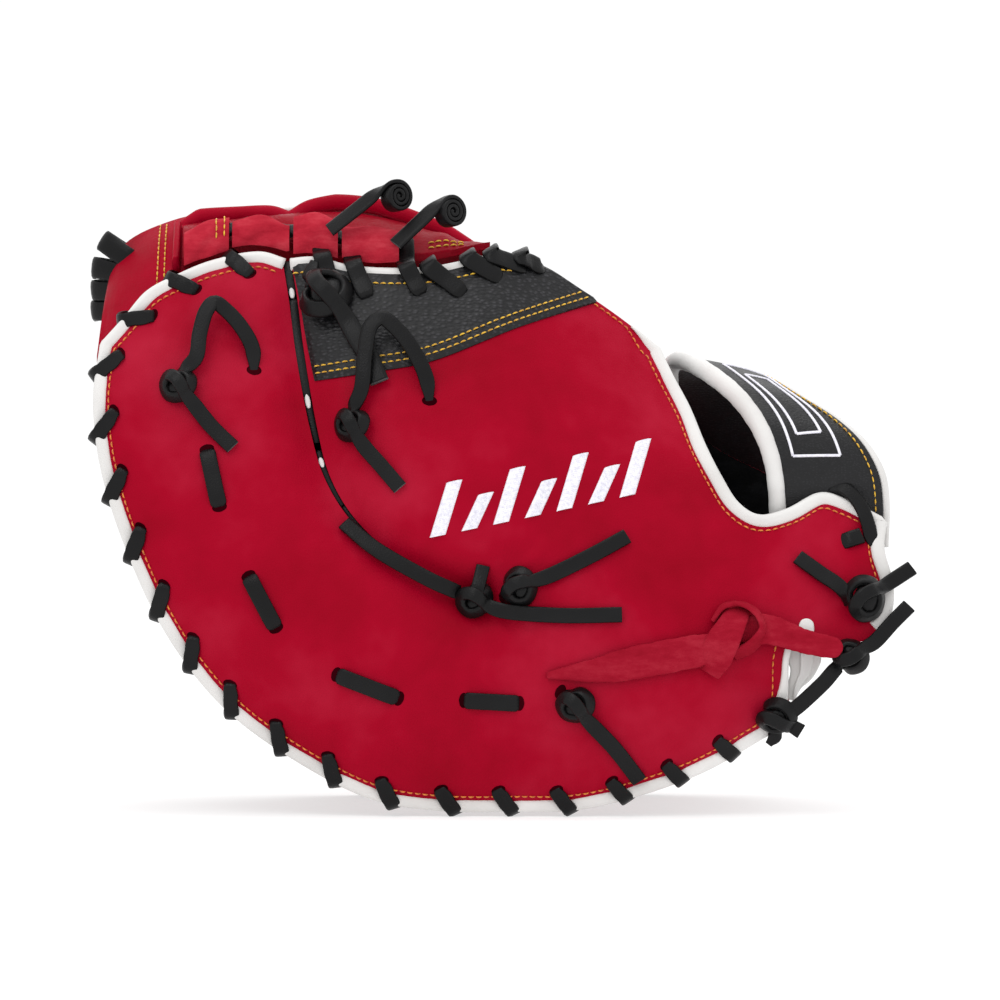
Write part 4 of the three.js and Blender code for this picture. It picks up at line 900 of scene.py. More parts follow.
# %% palm
def room(x, z, rims):
    """How far the palm stays off a shell: little at the rims and fingertips, the hand's room further in."""
    d = np.min([distance(line, x, z) for line in rims], axis=0)
    return HAND_ROOM * mix(0.25, 1, smooth(-0.40 * LENGTH, -0.10 * LENGTH, x)) * smooth(13, 44, d)


PAD, PAD_EDGE = 7.0, 4.5
# clear space between shell and palm, on the finger side and on the thumb side
NEAR_GAP, FAR_GAP = 1.9, 2.6
# mm that the palm's edge stays inside the outline, and its heel end as a share of length
PALM_TUCK, PALM_RIGHT = 1.7, 0.343
# points of the top line up to the crotch, where the finger stall ends
TOP_STALL = 62
finger_rims = [edge_line, tip_line, top_line[:TOP_STALL]]
thumb_rims = [thumb_low, thumb_top[:WEB_END]]
widest = int(np.argmin(edge_line[:, 0]))
finger_low_in = inset(np.vstack([edge_line[widest:], heel_line[6:HEEL_BOUND]]), 1, PALM_TUCK)
finger_up_in = np.vstack([edge_line[:widest + 1][::-1], tip_line[1:], top_line[1:]])
finger_up_in = inset(finger_up_in, -1, PALM_TUCK)
far_low_palm, far_up_palm = inset(thumb_low, 1, PALM_TUCK), inset(thumb_top, -1, PALM_TUCK)
# rows of the palm's grid along it, up each side, and across the bridge between the sides
PALM_ALONG, LEG, MIDDLE = 120, 34, 24
left_end, right_end = finger_low_in[0, 0] + 0.6, PALM_RIGHT * LENGTH
far_end = far_low_palm[:, 0].min() + 0.6
i_share = np.linspace(0, 1, PALM_ALONG + 1)
palm_x = mix(left_end, right_end, mix(i_share, 1 - np.cos(np.pi * 0.5 * i_share), 0.35))
x_far = palm_x + 3 * (1 - smooth(left_end, left_end + 30, palm_x))
under = smooth(CROTCH - 6, CROTCH + 6, palm_x)
shoulder = along(PALM_ARCH, 1, palm_x) * HEIGHT
crown = along(PALM_ARCH, 2, palm_x) * HEIGHT
leg_share = (np.linspace(0, 1, LEG + 1) ** 1.45)[None]


def leaf(x, low, high, share, face, sign, rims, gap):
    """One side of the palm, from its edge to the bridge under the hand."""
    z = mix(low[:, None], high[:, None], share)
    x = np.broadcast_to(x[:, None], z.shape)
    return np.stack([x, face(x, z) + sign * (SHELL + gap + room(x, z, rims)), z], axis=-1)


near_top = mix(height_at(finger_up_in, palm_x), shoulder, under)
near_leaf = leaf(palm_x, height_at(finger_low_in, palm_x), near_top, leg_share, finger_base, 1,
                 finger_rims, NEAR_GAP)
far_at = np.maximum(x_far, far_end)
far_top = mix(height_at(far_up_palm, far_at), shoulder, under)
far_leaf = leaf(x_far, height_at(far_low_palm, far_at), far_top, leg_share[:, ::-1], thumb_base, -1,
                thumb_rims, FAR_GAP)
mid_share = np.linspace(0, 1, MIDDLE + 1)[1:-1][None, :, None]
bridge = mix(near_leaf[:, -1:], far_leaf[:, :1], mid_share)
bridge[..., 0] = palm_x[:, None]
bridge[..., 2] += ((crown - shoulder) * under)[:, None] * np.sin(np.pi * mid_share[..., 0])
palm_top = np.concatenate([near_leaf, bridge, far_leaf], axis=1)
whole = grid_normals(palm_top)
parted = [grid_normals(near_leaf), whole[:, LEG + 1:LEG + MIDDLE], grid_normals(far_leaf)]
parted = np.concatenate(parted, axis=1)
palm_normal = unit(mix(parted, whole, smooth(CROTCH, CROTCH + 8, palm_x)[:, None, None]))

# %% the palm's ball side
# mm above the floor where the palm's low edge is flattened, as it stands on its laces
FLOOR_CLEAR = 0.3
edge_distance = np.where(
    np.arange(palm_top.shape[1])[None] <= palm_top.shape[1] / 2,
    np.min([distance(line, palm_top[..., 0], palm_top[..., 2]) for line in finger_rims], axis=0),
    np.min([distance(line, palm_top[..., 0], palm_top[..., 2]) for line in thumb_rims], axis=0))
pad_thick = mix(PAD_EDGE, PAD, smooth(2, 22, edge_distance))
pad_thick[:, LEG:LEG + MIDDLE + 1] = PAD
ball_fold = 0.5 * np.sin(palm_top[..., 0] / 9 + 2 * np.sin(palm_top[..., 1] / 15))
ball_fold = ball_fold * smooth(10, 30, edge_distance)
sign = 1.0 if palm_normal[-10, LEG + MIDDLE // 2, 2] > 0 else -1.0
palm_low = palm_top - palm_normal * (sign * (pad_thick + 0.4 * ball_fold))[..., None]
palm_keep = np.ones((PALM_ALONG, palm_top.shape[1] - 1), bool)
palm_keep[:int(np.argmax(palm_x > CROTCH)), LEG:LEG + MIDDLE] = False
palm_low[..., 2] = np.maximum(palm_low[..., 2], FLOOR_CLEAR)
palm = add_sheet("palm", palm_low, palm_top, palm_leather, ["palm_pad"], palm_keep, sharp=50,
                 lined=lining_fleece)

# %% [markdown]
# Inside the wrist opening the palm carries a dark napped cloth, which a hand feels first. It is a thin
# sheet that lies on the middle of the palm's hand side, with a fine uneven surface in place of single hairs.

# %% lining
# how far the lining's face and its back lie above the palm
LINING_OVER, LINING_UNDER = 2.9, 1.2
LINING_START = int(np.argmax(palm_x > CROTCH + 30))
cut = slice(LEG - LEG // 6, LEG + MIDDLE + LEG // 6)
lining_top = palm_top[LINING_START:, cut]
lining_normal = palm_normal[LINING_START:, cut] * sign
nap = 0.25 * np.sin(lining_top[..., 0] * 1.9 + np.sin(lining_top[..., 1])) * np.sin(lining_top[..., 1] * 1.7)
lining_face = lining_top + lining_normal * (LINING_OVER + nap)[..., None]
add_sheet("fleece_lining", lining_face, lining_top + lining_normal * LINING_UNDER, lining_fleece,
          ["hand_lining"])

# %% [markdown]
# Between the halves lies the web, a sheet of palm leather from the finger half's edge to the thumb half's.
# Most of it is hidden by the rim behind and the tunnels in front, so a slack sheet between two lines does.
# Both lines are functions, because the rim, the tunnels and the lace in them start from the same places.

# %% web
WEB_LEFT, WEB_RIGHT, WEB_THICK = -0.385, -0.012, 2.4
# how far the web's two edges lie inside the halves and above their top lines
RIM_IN, RIM_UP, NEAR_IN, NEAR_UP = 7.5, 0.5, 11.5, 4.5


def web_rim_at(u):
    """The far edge of the web, just inside the thumb half's top line; u is a share of length."""
    x = np.asarray(u, float) * LENGTH
    z = height_at(thumb_top, x)
    return np.stack([x, thumb_base(x, z) - RIM_IN, z + RIM_UP], axis=-1)


def web_near_at(u):
    """The near edge of the web, behind the finger half's tip line and top line."""
    x = np.asarray(u, float) * LENGTH
    z = np.where(x < SLIT_MOUTH * LENGTH, height_at(tip_line, x), height_at(top_line, x))
    return np.stack([x, finger_base(x, z) + NEAR_IN, z + NEAR_UP], axis=-1)


WEB_ALONG, WEB_ACROSS = 120, 24
wu = mix(WEB_LEFT, WEB_RIGHT, np.linspace(0, 1, WEB_ALONG + 1))
wk = np.linspace(0, 1, WEB_ACROSS + 1)
web_top = mix(web_near_at(wu)[:, None], web_rim_at(wu)[:, None], wk[None, :, None])
web_top[..., 1] -= 4.6 * wk[None]
web_top[..., 2] -= 3.0 * wk[None] ** 2 + 5.0 * smooth(-0.07, WEB_RIGHT, wu)[:, None] * wk[None]
web_top[..., 2] += 2 * np.sin(np.pi * wk)[None] + 0.5 * np.sin(wu * 160)[:, None] * np.sin(np.pi * wk)[None]
add_sheet("web_leather", web_top, web_top - [0, 0, WEB_THICK], palm_leather, ["web_sheet"],
          sharp=50)

# %% [markdown]
# Left of the web a red flap closes the fingertips between the two halves. It is a sheet from behind the
# finger half's edge to the thumb half's edge, arched a little, with two rows of thread across it.

# %% fingertip flap
TIP_LEFT, TIP_SLANT, TIP_THICK = -0.474, 4.0, 2.2
# columns of the flap's grid that are sewn through
SEWN_TIP = (38, 43)
TIP_ALONG, TIP_ACROSS = 60, 30
fu = np.linspace(TIP_LEFT, WEB_LEFT + 0.004, TIP_ALONG)
flap_x = fu * LENGTH
flap_near_x = flap_x - TIP_SLANT * np.linspace(1, 0, TIP_ALONG) ** 2
flap_far_z = height_at(thumb_top, flap_x) + 0.6
flap_near_z = height_at(tip_line, flap_near_x) - 5.0
flap_far = np.stack([flap_x, thumb_base(flap_x, flap_far_z) - 4.0, flap_far_z], axis=-1)
flap_near = np.stack([flap_near_x, finger_base(flap_near_x, flap_near_z) + 12.5, flap_near_z], axis=-1)
across = np.linspace(0, 1, TIP_ACROSS)
flap = mix(flap_near[:, None], flap_far[:, None], across[None, :, None])
flap[..., 2] += (3.6 + 0.4 * np.sin(flap_x / 4))[:, None] * np.sin(np.pi * across)[None]
add_sheet("tip_leather", flap, flap - [0, 0, TIP_THICK], red_leather, sharp=50)
rows = []
for column in SEWN_TIP:
    normal = grid_normals(flap)[column]
    rows.append((flap[column, 2:-1], normal[2:-1] * (1.0 if normal[10, 2] > 0 else -1.0)))
sew("tip_stitching", rows, gold_thread)

# %% [markdown]
# Behind the web the thumb half's edge is rolled over into a smooth red rim. It is a strip with a nearly round
# section along the web's far edge. It isn't straight but sinks between its sewn places, so its drop is read
# at a few places along it.

# %% rolled rim
# places along the rim and how far it drops there, and one narrow dip
RIM_U = (-0.385, -0.365, -0.300, -0.256, -0.200, -0.150, -0.070, -0.012)
RIM_DROP = (-4.0, -1.0, -1.8, -2.6, 0.4, 0.6, -1.6, -6.0)
DIP_AT, DIP_WIDE, DIP_DEEP = -0.256, 0.016, 2.4
ru = mix(WEB_LEFT, WEB_RIGHT, np.linspace(0, 1, 140))
rim_path = web_rim_at(ru)
rim_path[:, 2] += np.interp(ru, RIM_U, RIM_DROP) - DIP_DEEP * np.exp(-((ru - DIP_AT) / DIP_WIDE) ** 2)
RIM_ROUND = 6.2
parts = strip_parts(rim_path, [0, 0, 1], RIM_ROUND, RIM_ROUND, 20, 2.2)
add_mesh("rolled_rim", parts[0], parts[1], red_leather, ["web_rim"])

# %% [markdown]
# In front of the rim stands a row of suede tunnels, through which the black lace of the top edge runs. Each
# tunnel is an arch swept over the lace, open at both ends, with a small sag and an uneven wall, so that the
# row doesn't look machined.

# %% suede tunnels
# name, start, end, extra rise, turn, sag of the free edge
TUNNELS = [
    ("web_loop_a", -0.382, -0.328, 0.030, 0.96, 0.7), ("web_loop_b", -0.324, -0.255, 0.004, 0.90, 1.0),
    ("web_loop_c", -0.250, -0.196, 0.050, 0.90, 0.8), ("web_loop_d", -0.191, -0.122, 0.030, 0.90, 1.2),
]
# rows of the tunnel's grid that are sewn through, and the part of each row that shows
SEWN_TUNNELS = {"web_loop_a": (28, 35)}
SEWN_ARCH = slice(10, 26)
TUNNEL_ALONG, TUNNEL_ROUND = 40, 44
# outer and inner radius of the arch in mm
TUNNEL_RADII = (7.3, 5.4)


def row_over(points, out):
    """A row of stitches just above its leather."""
    return points + out * 0.1, out


web_rows = []
for name, first, last, rise, turn, sag in TUNNELS:
    u = np.linspace(first, last, TUNNEL_ALONG)
    c = web_near_at(u)[:, None]
    a = (np.pi * (1.14 - (turn + 0.14) * np.linspace(0, 1, TUNNEL_ROUND)))[None]
    down = np.linspace(0, 1, TUNNEL_ALONG)[:, None]
    hump = np.sin(np.pi * down)
    shells = []
    for r in TUNNEL_RADII:
        wobble = 0.35 * np.sin(6 * a + 9 * down) * hump
        y = c[..., 1] - 3.2 + (r + wobble) * np.cos(a) - 0.4 * hump * np.sin(a)
        z = c[..., 2] + 0.9 + (r + rise * 60 + wobble) * np.sin(a) - sag * (1 - hump) * np.sin(a)
        shells.append(np.stack([np.broadcast_to(c[..., 0], y.shape), y, z], axis=-1))
    add_sheet(name.replace("web_loop", "suede_tunnel"), shells[0], shells[1], red_suede, [name],
              sharp=60)
    if name in SEWN_TUNNELS:
        out = grid_normals(shells[0])
        out = out * (1.0 if out[20, 20, 2] > 0 else -1.0)
        for i in SEWN_TUNNELS[name]:
            web_rows.append(row_over(shells[0][i, SEWN_ARCH], out[i, SEWN_ARCH]))

# %% web stitching
# the part of the web's length and the two rows across it that are sewn
SEWN_WEB, SEWN_WEB_ROWS = slice(97, 112), (3, 6)
out = grid_normals(web_top)
out = out * (1.0 if out[20, 12, 2] > 0 else -1.0)
web_rows += [row_over(web_top[SEWN_WEB, j], out[SEWN_WEB, j]) for j in SEWN_WEB_ROWS]
sew("web_stitching", web_rows, gold_thread)

# %% [markdown]
# At the fingertips a flat bar of red leather ends the web. It is a short strip that bows up a little on its
# way from one half to the other.

# %% end bar
BAR_OFF, END_BAR_WIDE, END_BAR_THICK = 0.0078, 9.5, 3.0
bar_u = WEB_LEFT - BAR_OFF
bar_low, bar_high = web_near_at(bar_u) + [0, 1, -2], web_rim_at(bar_u) + [0, -4, -4.5]
bar_path = spline([bar_low, (bar_low + bar_high) / 2 + [0, 0, 1], bar_high], 40)
parts = strip_parts(bar_path, [-1, 0, 0], END_BAR_WIDE, END_BAR_THICK, 16, 3.0)
add_mesh("end_bar", parts[0], parts[1], red_leather, ["web_tip_bar"])

# %% [markdown]
# Over the wrist goes a strap of embossed black leather with a padded white roll on the hand's side and a
# white piping behind. Roll and piping follow two given lines in space, and the strap is the surface
# between them, slightly crowned. The roll is stuffed, so its section is round with shallow puckers.

# %% wrist strap
# x, y, z of the roll and of the piping: shares of length, half depth and height
STRAP = [
    (0.334, -0.500, 0.500, 0.464, -0.470, 0.480), (0.334, -0.535, 0.565, 0.465, -0.505, 0.560),
    (0.328, -0.560, 0.635, 0.460, -0.530, 0.610), (0.314, -0.520, 0.692, 0.444, -0.500, 0.655),
    (0.288, -0.370, 0.748, 0.414, -0.390, 0.698), (0.254, -0.180, 0.790, 0.366, -0.220, 0.742),
    (0.224, 0.060, 0.812, 0.330, 0.020, 0.772), (0.210, 0.300, 0.800, 0.322, 0.300, 0.750),
    (0.214, 0.540, 0.738, 0.328, 0.540, 0.688), (0.232, 0.740, 0.642, 0.338, 0.730, 0.598),
    (0.246, 0.850, 0.545, 0.346, 0.830, 0.520),
]
ROLL_RADIUS, STRAP_THICK, STRAP_N = 4.0, 3.0, 140
strap_rows = np.array(STRAP)
box_sizes = np.array([LENGTH, HALF_DEPTH, HEIGHT])
roll_path = spline(strap_rows[:, :3] * box_sizes, STRAP_N)
rear_path = spline(strap_rows[:, 3:] * box_sizes, STRAP_N)
strap_across = rear_path - roll_path
strap_normal = unit(np.cross(np.gradient(roll_path, axis=0), strap_across))
strap_wide = np.linalg.norm(strap_across, axis=1)[:, None]
outer_sign = 1.0 if strap_normal[STRAP_N // 2, 2] > 0 else -1.0
strap_normal = strap_normal * outer_sign

# mm that the strap stands higher in its middle than at its sides
STRAP_CROWN = 1.2


def read_strap(table, row):
    """A table along the strap, read between its rows."""
    i = np.asarray(row, float)
    return np.stack([np.interp(i, np.arange(STRAP_N + 1), table[:, c]) for c in range(3)], axis=-1)


def on_strap(row, k, lift):
    """A point on the strap: row counts along it, k is a share of its width, lift is off its face."""
    k = np.asarray(k, float)[..., None]
    return mix(read_strap(roll_path, row), read_strap(rear_path, row), k) + read_strap(strap_normal, row) * (
        lift + STRAP_CROWN * np.sin(np.pi * k) + STRAP_THICK / 2)


k_rows = mix((ROLL_RADIUS - 1.0) / strap_wide, 1 - 1.4 / strap_wide, np.linspace(0, 1, 33)[None])
i_rows = np.broadcast_to(np.arange(STRAP_N + 1)[:, None], k_rows.shape)
add_sheet("strap_face", on_strap(i_rows, k_rows, 0), on_strap(i_rows, k_rows, -STRAP_THICK), strap_leather,
          ["wrist_strap"], sharp=60)

pucker = 1 + 0.018 * np.sin(np.arange(STRAP_N + 1) * 0.9) + 0.012 * np.sin(np.arange(STRAP_N + 1) * 2.3)
parts = strip_parts(roll_path, strap_normal, 1.6 * ROLL_RADIUS * pucker, 1.7 * ROLL_RADIUS * pucker, 28, 2.1)
roll = add_mesh("padded_roll", parts[0], parts[1], white_leather, ["strap_roll"])
parts = strip_parts(rear_path, strap_normal, 2.8, 3.4, 16, 2.4)
add_mesh("strap_welt", parts[0], parts[1], white_leather, ["strap_piping"])

rear_row = np.arange(0, STRAP_N + 1, 0.5)
rear_k = 1 - 4.0 / np.interp(rear_row, np.arange(STRAP_N + 1), strap_wide[:, 0])
rear_line = on_strap(rear_row, rear_k, 0)
sew("strap_stitching", [(rear_line, read_strap(strap_normal, rear_row))], gold_thread)

# %% [markdown]
# The laces are flat rawhide, about 6 mm wide, waxed black, with a grey core that shows only at a cut end.
# Each wrap comes out of a hole in the leather, leans over the binding and goes round to the palm's side.
# It is a strip whose flat side always looks away from the edge that it goes round.

# %% edge wraps
def add_strips(name, parts, nodes, material=None, core=None):
    """Several strips as one piece, resting on the floor where they are lowest."""
    verts, faces, marks = merge(parts)
    verts[:, 2] = np.maximum(verts[:, 2], 0.0)
    add_mesh(name, verts, faces, material or lace_leather, nodes, marks, [core or lace_core])


# mm along the edge from a turn's middle back to its hole, and on to where it goes over the edge
LEAN_HOLE, LEAN_OVER = -5.2, 4.4


def lean_of(lean, t):
    """How far a wrap leans: more where the edge runs down at the tip, less where it rises to the heel."""
    return lean * (0.65 - 0.4 * min(float(t[1]), 0) - 0.75 * max(float(t[1]), 0))


def wrap_parts(path, d, side, face, out, deep, seed, lean=1.0, bulge=0.0):
    """One turn of lace over an edge; deep is how far behind the face it runs, bulge how far off the edge."""
    p, t, n = station(path, d)
    jitter = 0.5 * math.sin(seed * 12.9)
    lean = lean_of(lean, t)
    rows = []
    # in from the edge, behind the face, moved along the edge
    stops = [
        (8.4, 2.2, LEAN_HOLE), (8.1, 0.2, LEAN_HOLE), (7.0, -0.7, LEAN_HOLE * 0.84),
        (5.2, -1.2, LEAN_HOLE * 0.4), (3.0, -1.9, 0.0), (1.4 - bulge * 0.6, -1.6, LEAN_OVER * 0.5),
        (0.2 - bulge, -0.4, LEAN_OVER * 0.8), (-0.4 - bulge, 1.8, LEAN_OVER), (-0.5 - bulge, 5.5, LEAN_OVER),
        (-0.4 - bulge, deep * 0.62, LEAN_OVER * 0.8), (1.2, deep * 0.9, LEAN_OVER * 0.4),
        (5.0, deep + 0.6, 0), (9.5, deep, -1.0),
    ]
    for inward, behind, shift in stops:
        q = p + side * n * inward + t * (shift * lean + jitter)
        base = p + side * n * max(inward, 2.6)
        rows.append([q[0], float(face(base[0], base[1])) - out * behind, q[1]])
    line = spline(rows, 44)
    middle = p + side * n * 4.5
    hub = np.array([middle[0], float(face(middle[0], middle[1])) - out * deep * 0.42, middle[1]])
    facing = unit(line - hub)
    share = np.linspace(0, 1, len(line))
    wide = (LACE_WIDTH - 1.0 + (2.4 if bulge else 0.0)) * (0.70 + 0.30 * smooth(0.0, 0.16, share))
    wide = wide * (1 + 0.04 * np.sin(share * 9 + seed))
    return strip_parts(line, facing, wide, 2.2 if bulge else 1.45, 12, 2.5 if bulge else 4.5)


def run_parts(path, stops, side, face, out, inward, behind):
    """The lace that runs along the palm's side from hole to hole."""
    d = np.linspace(stops[0], stops[-1], int((stops[-1] - stops[0]) / 2.5))
    p, _, n = station(path, d)
    row = p + side * n * inward
    y = face(row[:, 0], row[:, 1]) - out * behind
    between = np.abs(((d - stops[0]) / 22.0) % 1 - 0.5) * 2
    line = np.stack([row[:, 0], y - out * 0.5 * between, row[:, 1]], axis=1)
    facing = np.stack([0 * d, 0 * d - out, 0 * d], axis=1)
    return strip_parts(line, facing, 5.2, LACE_THICK, 10, 4.5)


add_strips("edge_wraps", [run_parts(edge_path, edge_wraps, 1, finger_face, -1, 7.5, 14.2)] + [
    wrap_parts(edge_path, d, 1, finger_face, -1, 14.0, k) for k, d in enumerate(edge_wraps)], ["edge_lace"])
add_strips("thumb_wraps", [run_parts(thumb_path, thumb_wraps, 1, thumb_face, 1, 7.5, 16.0)] + [
    wrap_parts(thumb_path, d, 1, thumb_face, 1, 15.6, k + 40, 0.35 if k < TIP_WRAPS else -1.0,
               6.4 - 0.8 * k if k < TIP_WRAPS else 0.0)
    for k, d in enumerate(thumb_wraps)], ["thumb_lace"])

# %% [markdown]
# Every turn and every stitch comes out of a punched hole, and the tight lace pulls a little hollow into the
# leather there, which lies in shade. Seen from outside that shade is a dark rim round the lace's end, so a
# thin oval of painted shade on the skin, just wider than the lace, stands for it; a true hole in the hide
# would change nothing that can be seen.

# %% painted shade at the lace holes
HOLE_LONG, HOLE_WIDE = 3.4, 5.4


def hole_shade_parts(x, z, face, out, ahead):
    """A thin oval of painted shade on a half's leather, its long side across the lace that dives there."""
    middle = np.array([x, float(face(x, z)), z])
    normal = face_normal(face, np.array([x]), np.array([z]), out)[0]
    ahead = unit(np.array([ahead[0], 0.0, ahead[1]]))
    share = np.linspace(-1, 1, 12)
    line = middle + normal * 0.05 + (share * HOLE_LONG / 2)[:, None] * ahead
    line[:, 1] = face(line[:, 0], line[:, 2]) + normal[1] * 0.05
    return strip_parts(line, normal, 0.2 + HOLE_WIDE * np.sqrt(1 - 0.98 * share ** 2), 0.30, 12, 2.0)


# the oval of painted shade at the hole of one wrap
def wrap_hole_shade(path, d, side, face, out, lean=1.0):
    p, t, n = station(path, d)
    q = p + side * n * 8.0 + t * LEAN_HOLE * lean_of(lean, t)
    return hole_shade_parts(q[0], q[1], face, out, side * n * 8.0 + t * LEAN_HOLE)


# name, start, end of each stitch of the lace that helps the outer section fold
BREAK_STITCHES = [
    ("break_lace_1", (-0.351, 0.657), (-0.336, 0.558)), ("break_lace_2", (-0.300, 0.432), (-0.268, 0.342)),
    ("break_lace_3", (-0.194, 0.257), (-0.122, 0.216)), ("break_lace_4", (-0.042, 0.212), (0.022, 0.207)),
]
# x, height and direction of the holes that the looped laces come out of
LOOP_HOLES = [
    (-0.2955, 0.800, 0.1, 1.0), (-0.0845, 0.746, 0.1, 1.0),
    (0.005, 0.394, 1.0, 0.5), (0.072, 0.228, 1.0, -0.6),
]
box_xz = np.array([LENGTH, HEIGHT])
hole_shades = [wrap_hole_shade(edge_path, d, 1, finger_face, -1) for d in edge_wraps]
hole_shades += [wrap_hole_shade(thumb_path, d, 1, thumb_face, 1, -1.0) for d in thumb_wraps[TIP_WRAPS:]]
for _, start, end in BREAK_STITCHES:
    a, b = np.array(start) * box_xz, np.array(end) * box_xz
    hole_shades += [hole_shade_parts(*mix(a, b, k), finger_face, -1, b - a) for k in (-0.02, 1.02)]
hole_shades += [hole_shade_parts(u * LENGTH, v * HEIGHT, finger_face, -1, (dx, dz)) for u, v, dx, dz in LOOP_HOLES]
hole_shades = merge(hole_shades)
# ovals of painted shade round the lace holes
add_mesh("lace_hole_shade", hole_shades[0], hole_shades[1], hole_shade_paint)

# %% [markdown]
# Along the top edge another lace turns over the binding, out of the panel and down to a straight run that
# passes through the suede tunnels. Right of the tunnels the turns go down behind the edge.

# %% top wraps
# top x, low x, height of the low end, all as shares
TOP_TURNS = [
    (-0.214, -0.208, 0.965), (-0.176, -0.160, 0.932), (-0.112, -0.095, 0.938), (-0.086, -0.044, 0.938),
    (-0.038, 0.000, 0.966), (-0.010, 0.030, 0.985), (0.026, 0.050, 0.984),
]


def tunnel_at(u):
    """The middle of the lace inside the tunnels."""
    c = web_near_at(u)
    return c + [0, -3.2, 4.8]


# share of length where the lace in the tunnels ends
TUNNEL_LACE_END = -0.105


def top_turn(top_u, low_u, low_v, seed):
    """A turn over the top binding: out of the panel, up over the edge and back to the lace in the tunnels."""
    x1, x0, z0 = top_u * LENGTH, low_u * LENGTH, low_v * HEIGHT
    edge_z = float(height_at(top_line, x1))
    lift = PANEL_THICK if low_u < 0.10 else 0
    back = tunnel_at(top_u)
    rows = []
    for share, off in ((-0.04, -1.6), (0.05, 0.7), (0.25, 1.2), (0.55, 1.7), (0.82, 2.8)):
        x, z = mix(x0, x1, share), mix(z0, edge_z, share)
        rows.append([x, float(finger_face(x, z)) - off - lift, z])
    y1 = float(finger_face(x1, edge_z - 3))
    rows += [[x1, y1 - 2.9, edge_z + 0.3], [x1 - 0.4, y1 - 0.8, edge_z + 1.5]]
    rows.append([x1 - 0.6, y1 + 2.5, edge_z + 1.9])
    if top_u < TUNNEL_LACE_END:
        rows.append([min(x1 - 0.8, back[0]), back[1], back[2] + 0.2])
    else:
        rows += [[x1 - 0.8, y1 + 3.6, edge_z + 0.4], [x1 - 0.8, y1 + 3.8, edge_z - 4.0]]
    line = spline(rows, 36)
    hub = np.array([mix(x0, x1, 0.6), y1 + 6, edge_z - 7])
    share = np.linspace(0, 1, len(line))
    wide = (LACE_WIDTH + 0.2) * (0.6 + 0.4 * smooth(0.0, 0.16, share)) * (1 + 0.04 * np.sin(share * 8 + seed))
    return strip_parts(line, unit(line - hub), wide, LACE_THICK, 12, 4.5)


inside = tunnel_at(np.linspace(-0.376, TUNNEL_LACE_END, 90))
inside[:, 2] += 0.4 * np.sin(np.arange(90) / 5)
add_strips("top_wraps", [strip_parts(inside, [0, -0.8, 1], 6.0, 2.6, 12, 4.0)] + [
    top_turn(*turn, k) for k, turn in enumerate(TOP_TURNS)], ["top_lace"])

# %% [markdown]
# The loose laces lie on the leather, stand off it in loops and are tied with overhand knots. A knot is the
# same strip led once round and through itself, its flat side turned away from the knot's middle. The route
# is a short list of stops in the knot's own frame, so one recipe ties every knot on the mitt.

# %% knots
# stops of an overhand knot: along the tail, across it, off the leather; in knot radii
KNOT = [
    (-0.95, 0.30, 0.05), (-0.60, 0.95, 0.35), (0.20, 1.10, 0.75), (0.80, 0.55, 0.85), (0.78, -0.45, 0.55),
    (0.05, -1.05, 0.30), (-0.80, -0.82, 0.45), (-1.02, -0.15, 0.95), (-0.40, 0.14, 1.42), (0.35, 0.10, 1.40),
    (1.02, 0.0, 0.75),
]


def on_skin(rows):
    """Places on the finger side's leather: shares of length and height, and the lift off it in mm."""
    rows = np.atleast_2d(np.array(rows, float))
    x, z = rows[:, 0] * LENGTH, rows[:, 1] * HEIGHT
    n = face_normal(finger_face, x, z, -1)
    return on_face(finger_face, x, z) + n * rows[:, 2:3], n


# stops of the short thick piece that fills a knot's middle, in the same frame
HUB = [(-0.62, -0.45, 0.20), (-0.35, -0.25, 0.45), (0.0, 0.0, 0.60), (0.35, 0.22, 0.55), (0.62, 0.40, 0.25)]


def tied_lace(lead, knot, tail, radius=4.7, wide=5.6, thick=LACE_THICK, flip=1, taper=True, steps=150):
    """One lace: a lead on the leather, an overhand knot with its filled middle, and a tail with a cut end."""
    centre, up = on_skin([knot])
    centre, up = centre[0], up[0]
    tail_points, _ = on_skin(tail)
    ahead = unit(tail_points[0] - centre)
    ahead = unit(ahead - up * float(ahead @ up))
    across = np.cross(up, ahead) * flip
    low = centre - up * 0.45 * radius
    turns = [low + radius * (ahead * a + across * b + up * c) for a, b, c in KNOT]
    first = on_skin(lead)[0] if len(lead) else np.zeros((0, 3))
    rows = np.vstack([first, turns, tail_points])
    line = spline(rows, steps, 900)
    skin = face_normal(finger_face, line[:, 0], line[:, 2], -1)
    near = np.exp(-(np.linalg.norm(line - centre, axis=1) / (1.5 * radius)) ** 4)[:, None]
    facing = unit(skin * (1 - near) + unit(line - (low + up * 0.15 * radius)) * near)
    share = np.linspace(0, 1, len(line))
    width = wide * (1 - 0.16 * near[:, 0])
    if taper and len(lead):
        width = width * (0.5 + 0.5 * smooth(0.0, 0.06, share))
    lace = strip_parts(line, facing, width, thick * (1 + 0.35 * near[:, 0]), 12, 4.5)
    hub_line = spline([low + radius * (ahead * a + across * b + up * c) for a, b, c in HUB], 20)
    return merge([lace, strip_parts(hub_line, up, radius * 1.5, radius * 0.7, 12, 2.6)])


def loose_strip(rows, wide=5.6, thick=LACE_THICK, steps=50, ends=(False, False)):
    """A strip on the leather without a knot; an end that dives into a hole is narrowed."""
    line = spline(on_skin(rows)[0], steps)
    skin = face_normal(finger_face, line[:, 0], line[:, 2], -1)
    share = np.linspace(0, 1, len(line))
    width = np.full(len(line), float(wide))
    if ends[0]:
        width = width * (0.5 + 0.5 * smooth(0.0, 0.12, share))
    if ends[1]:
        width = width * (0.5 + 0.5 * smooth(1.0, 0.88, share))
    return strip_parts(line, skin, width, thick, 12, 4.5)


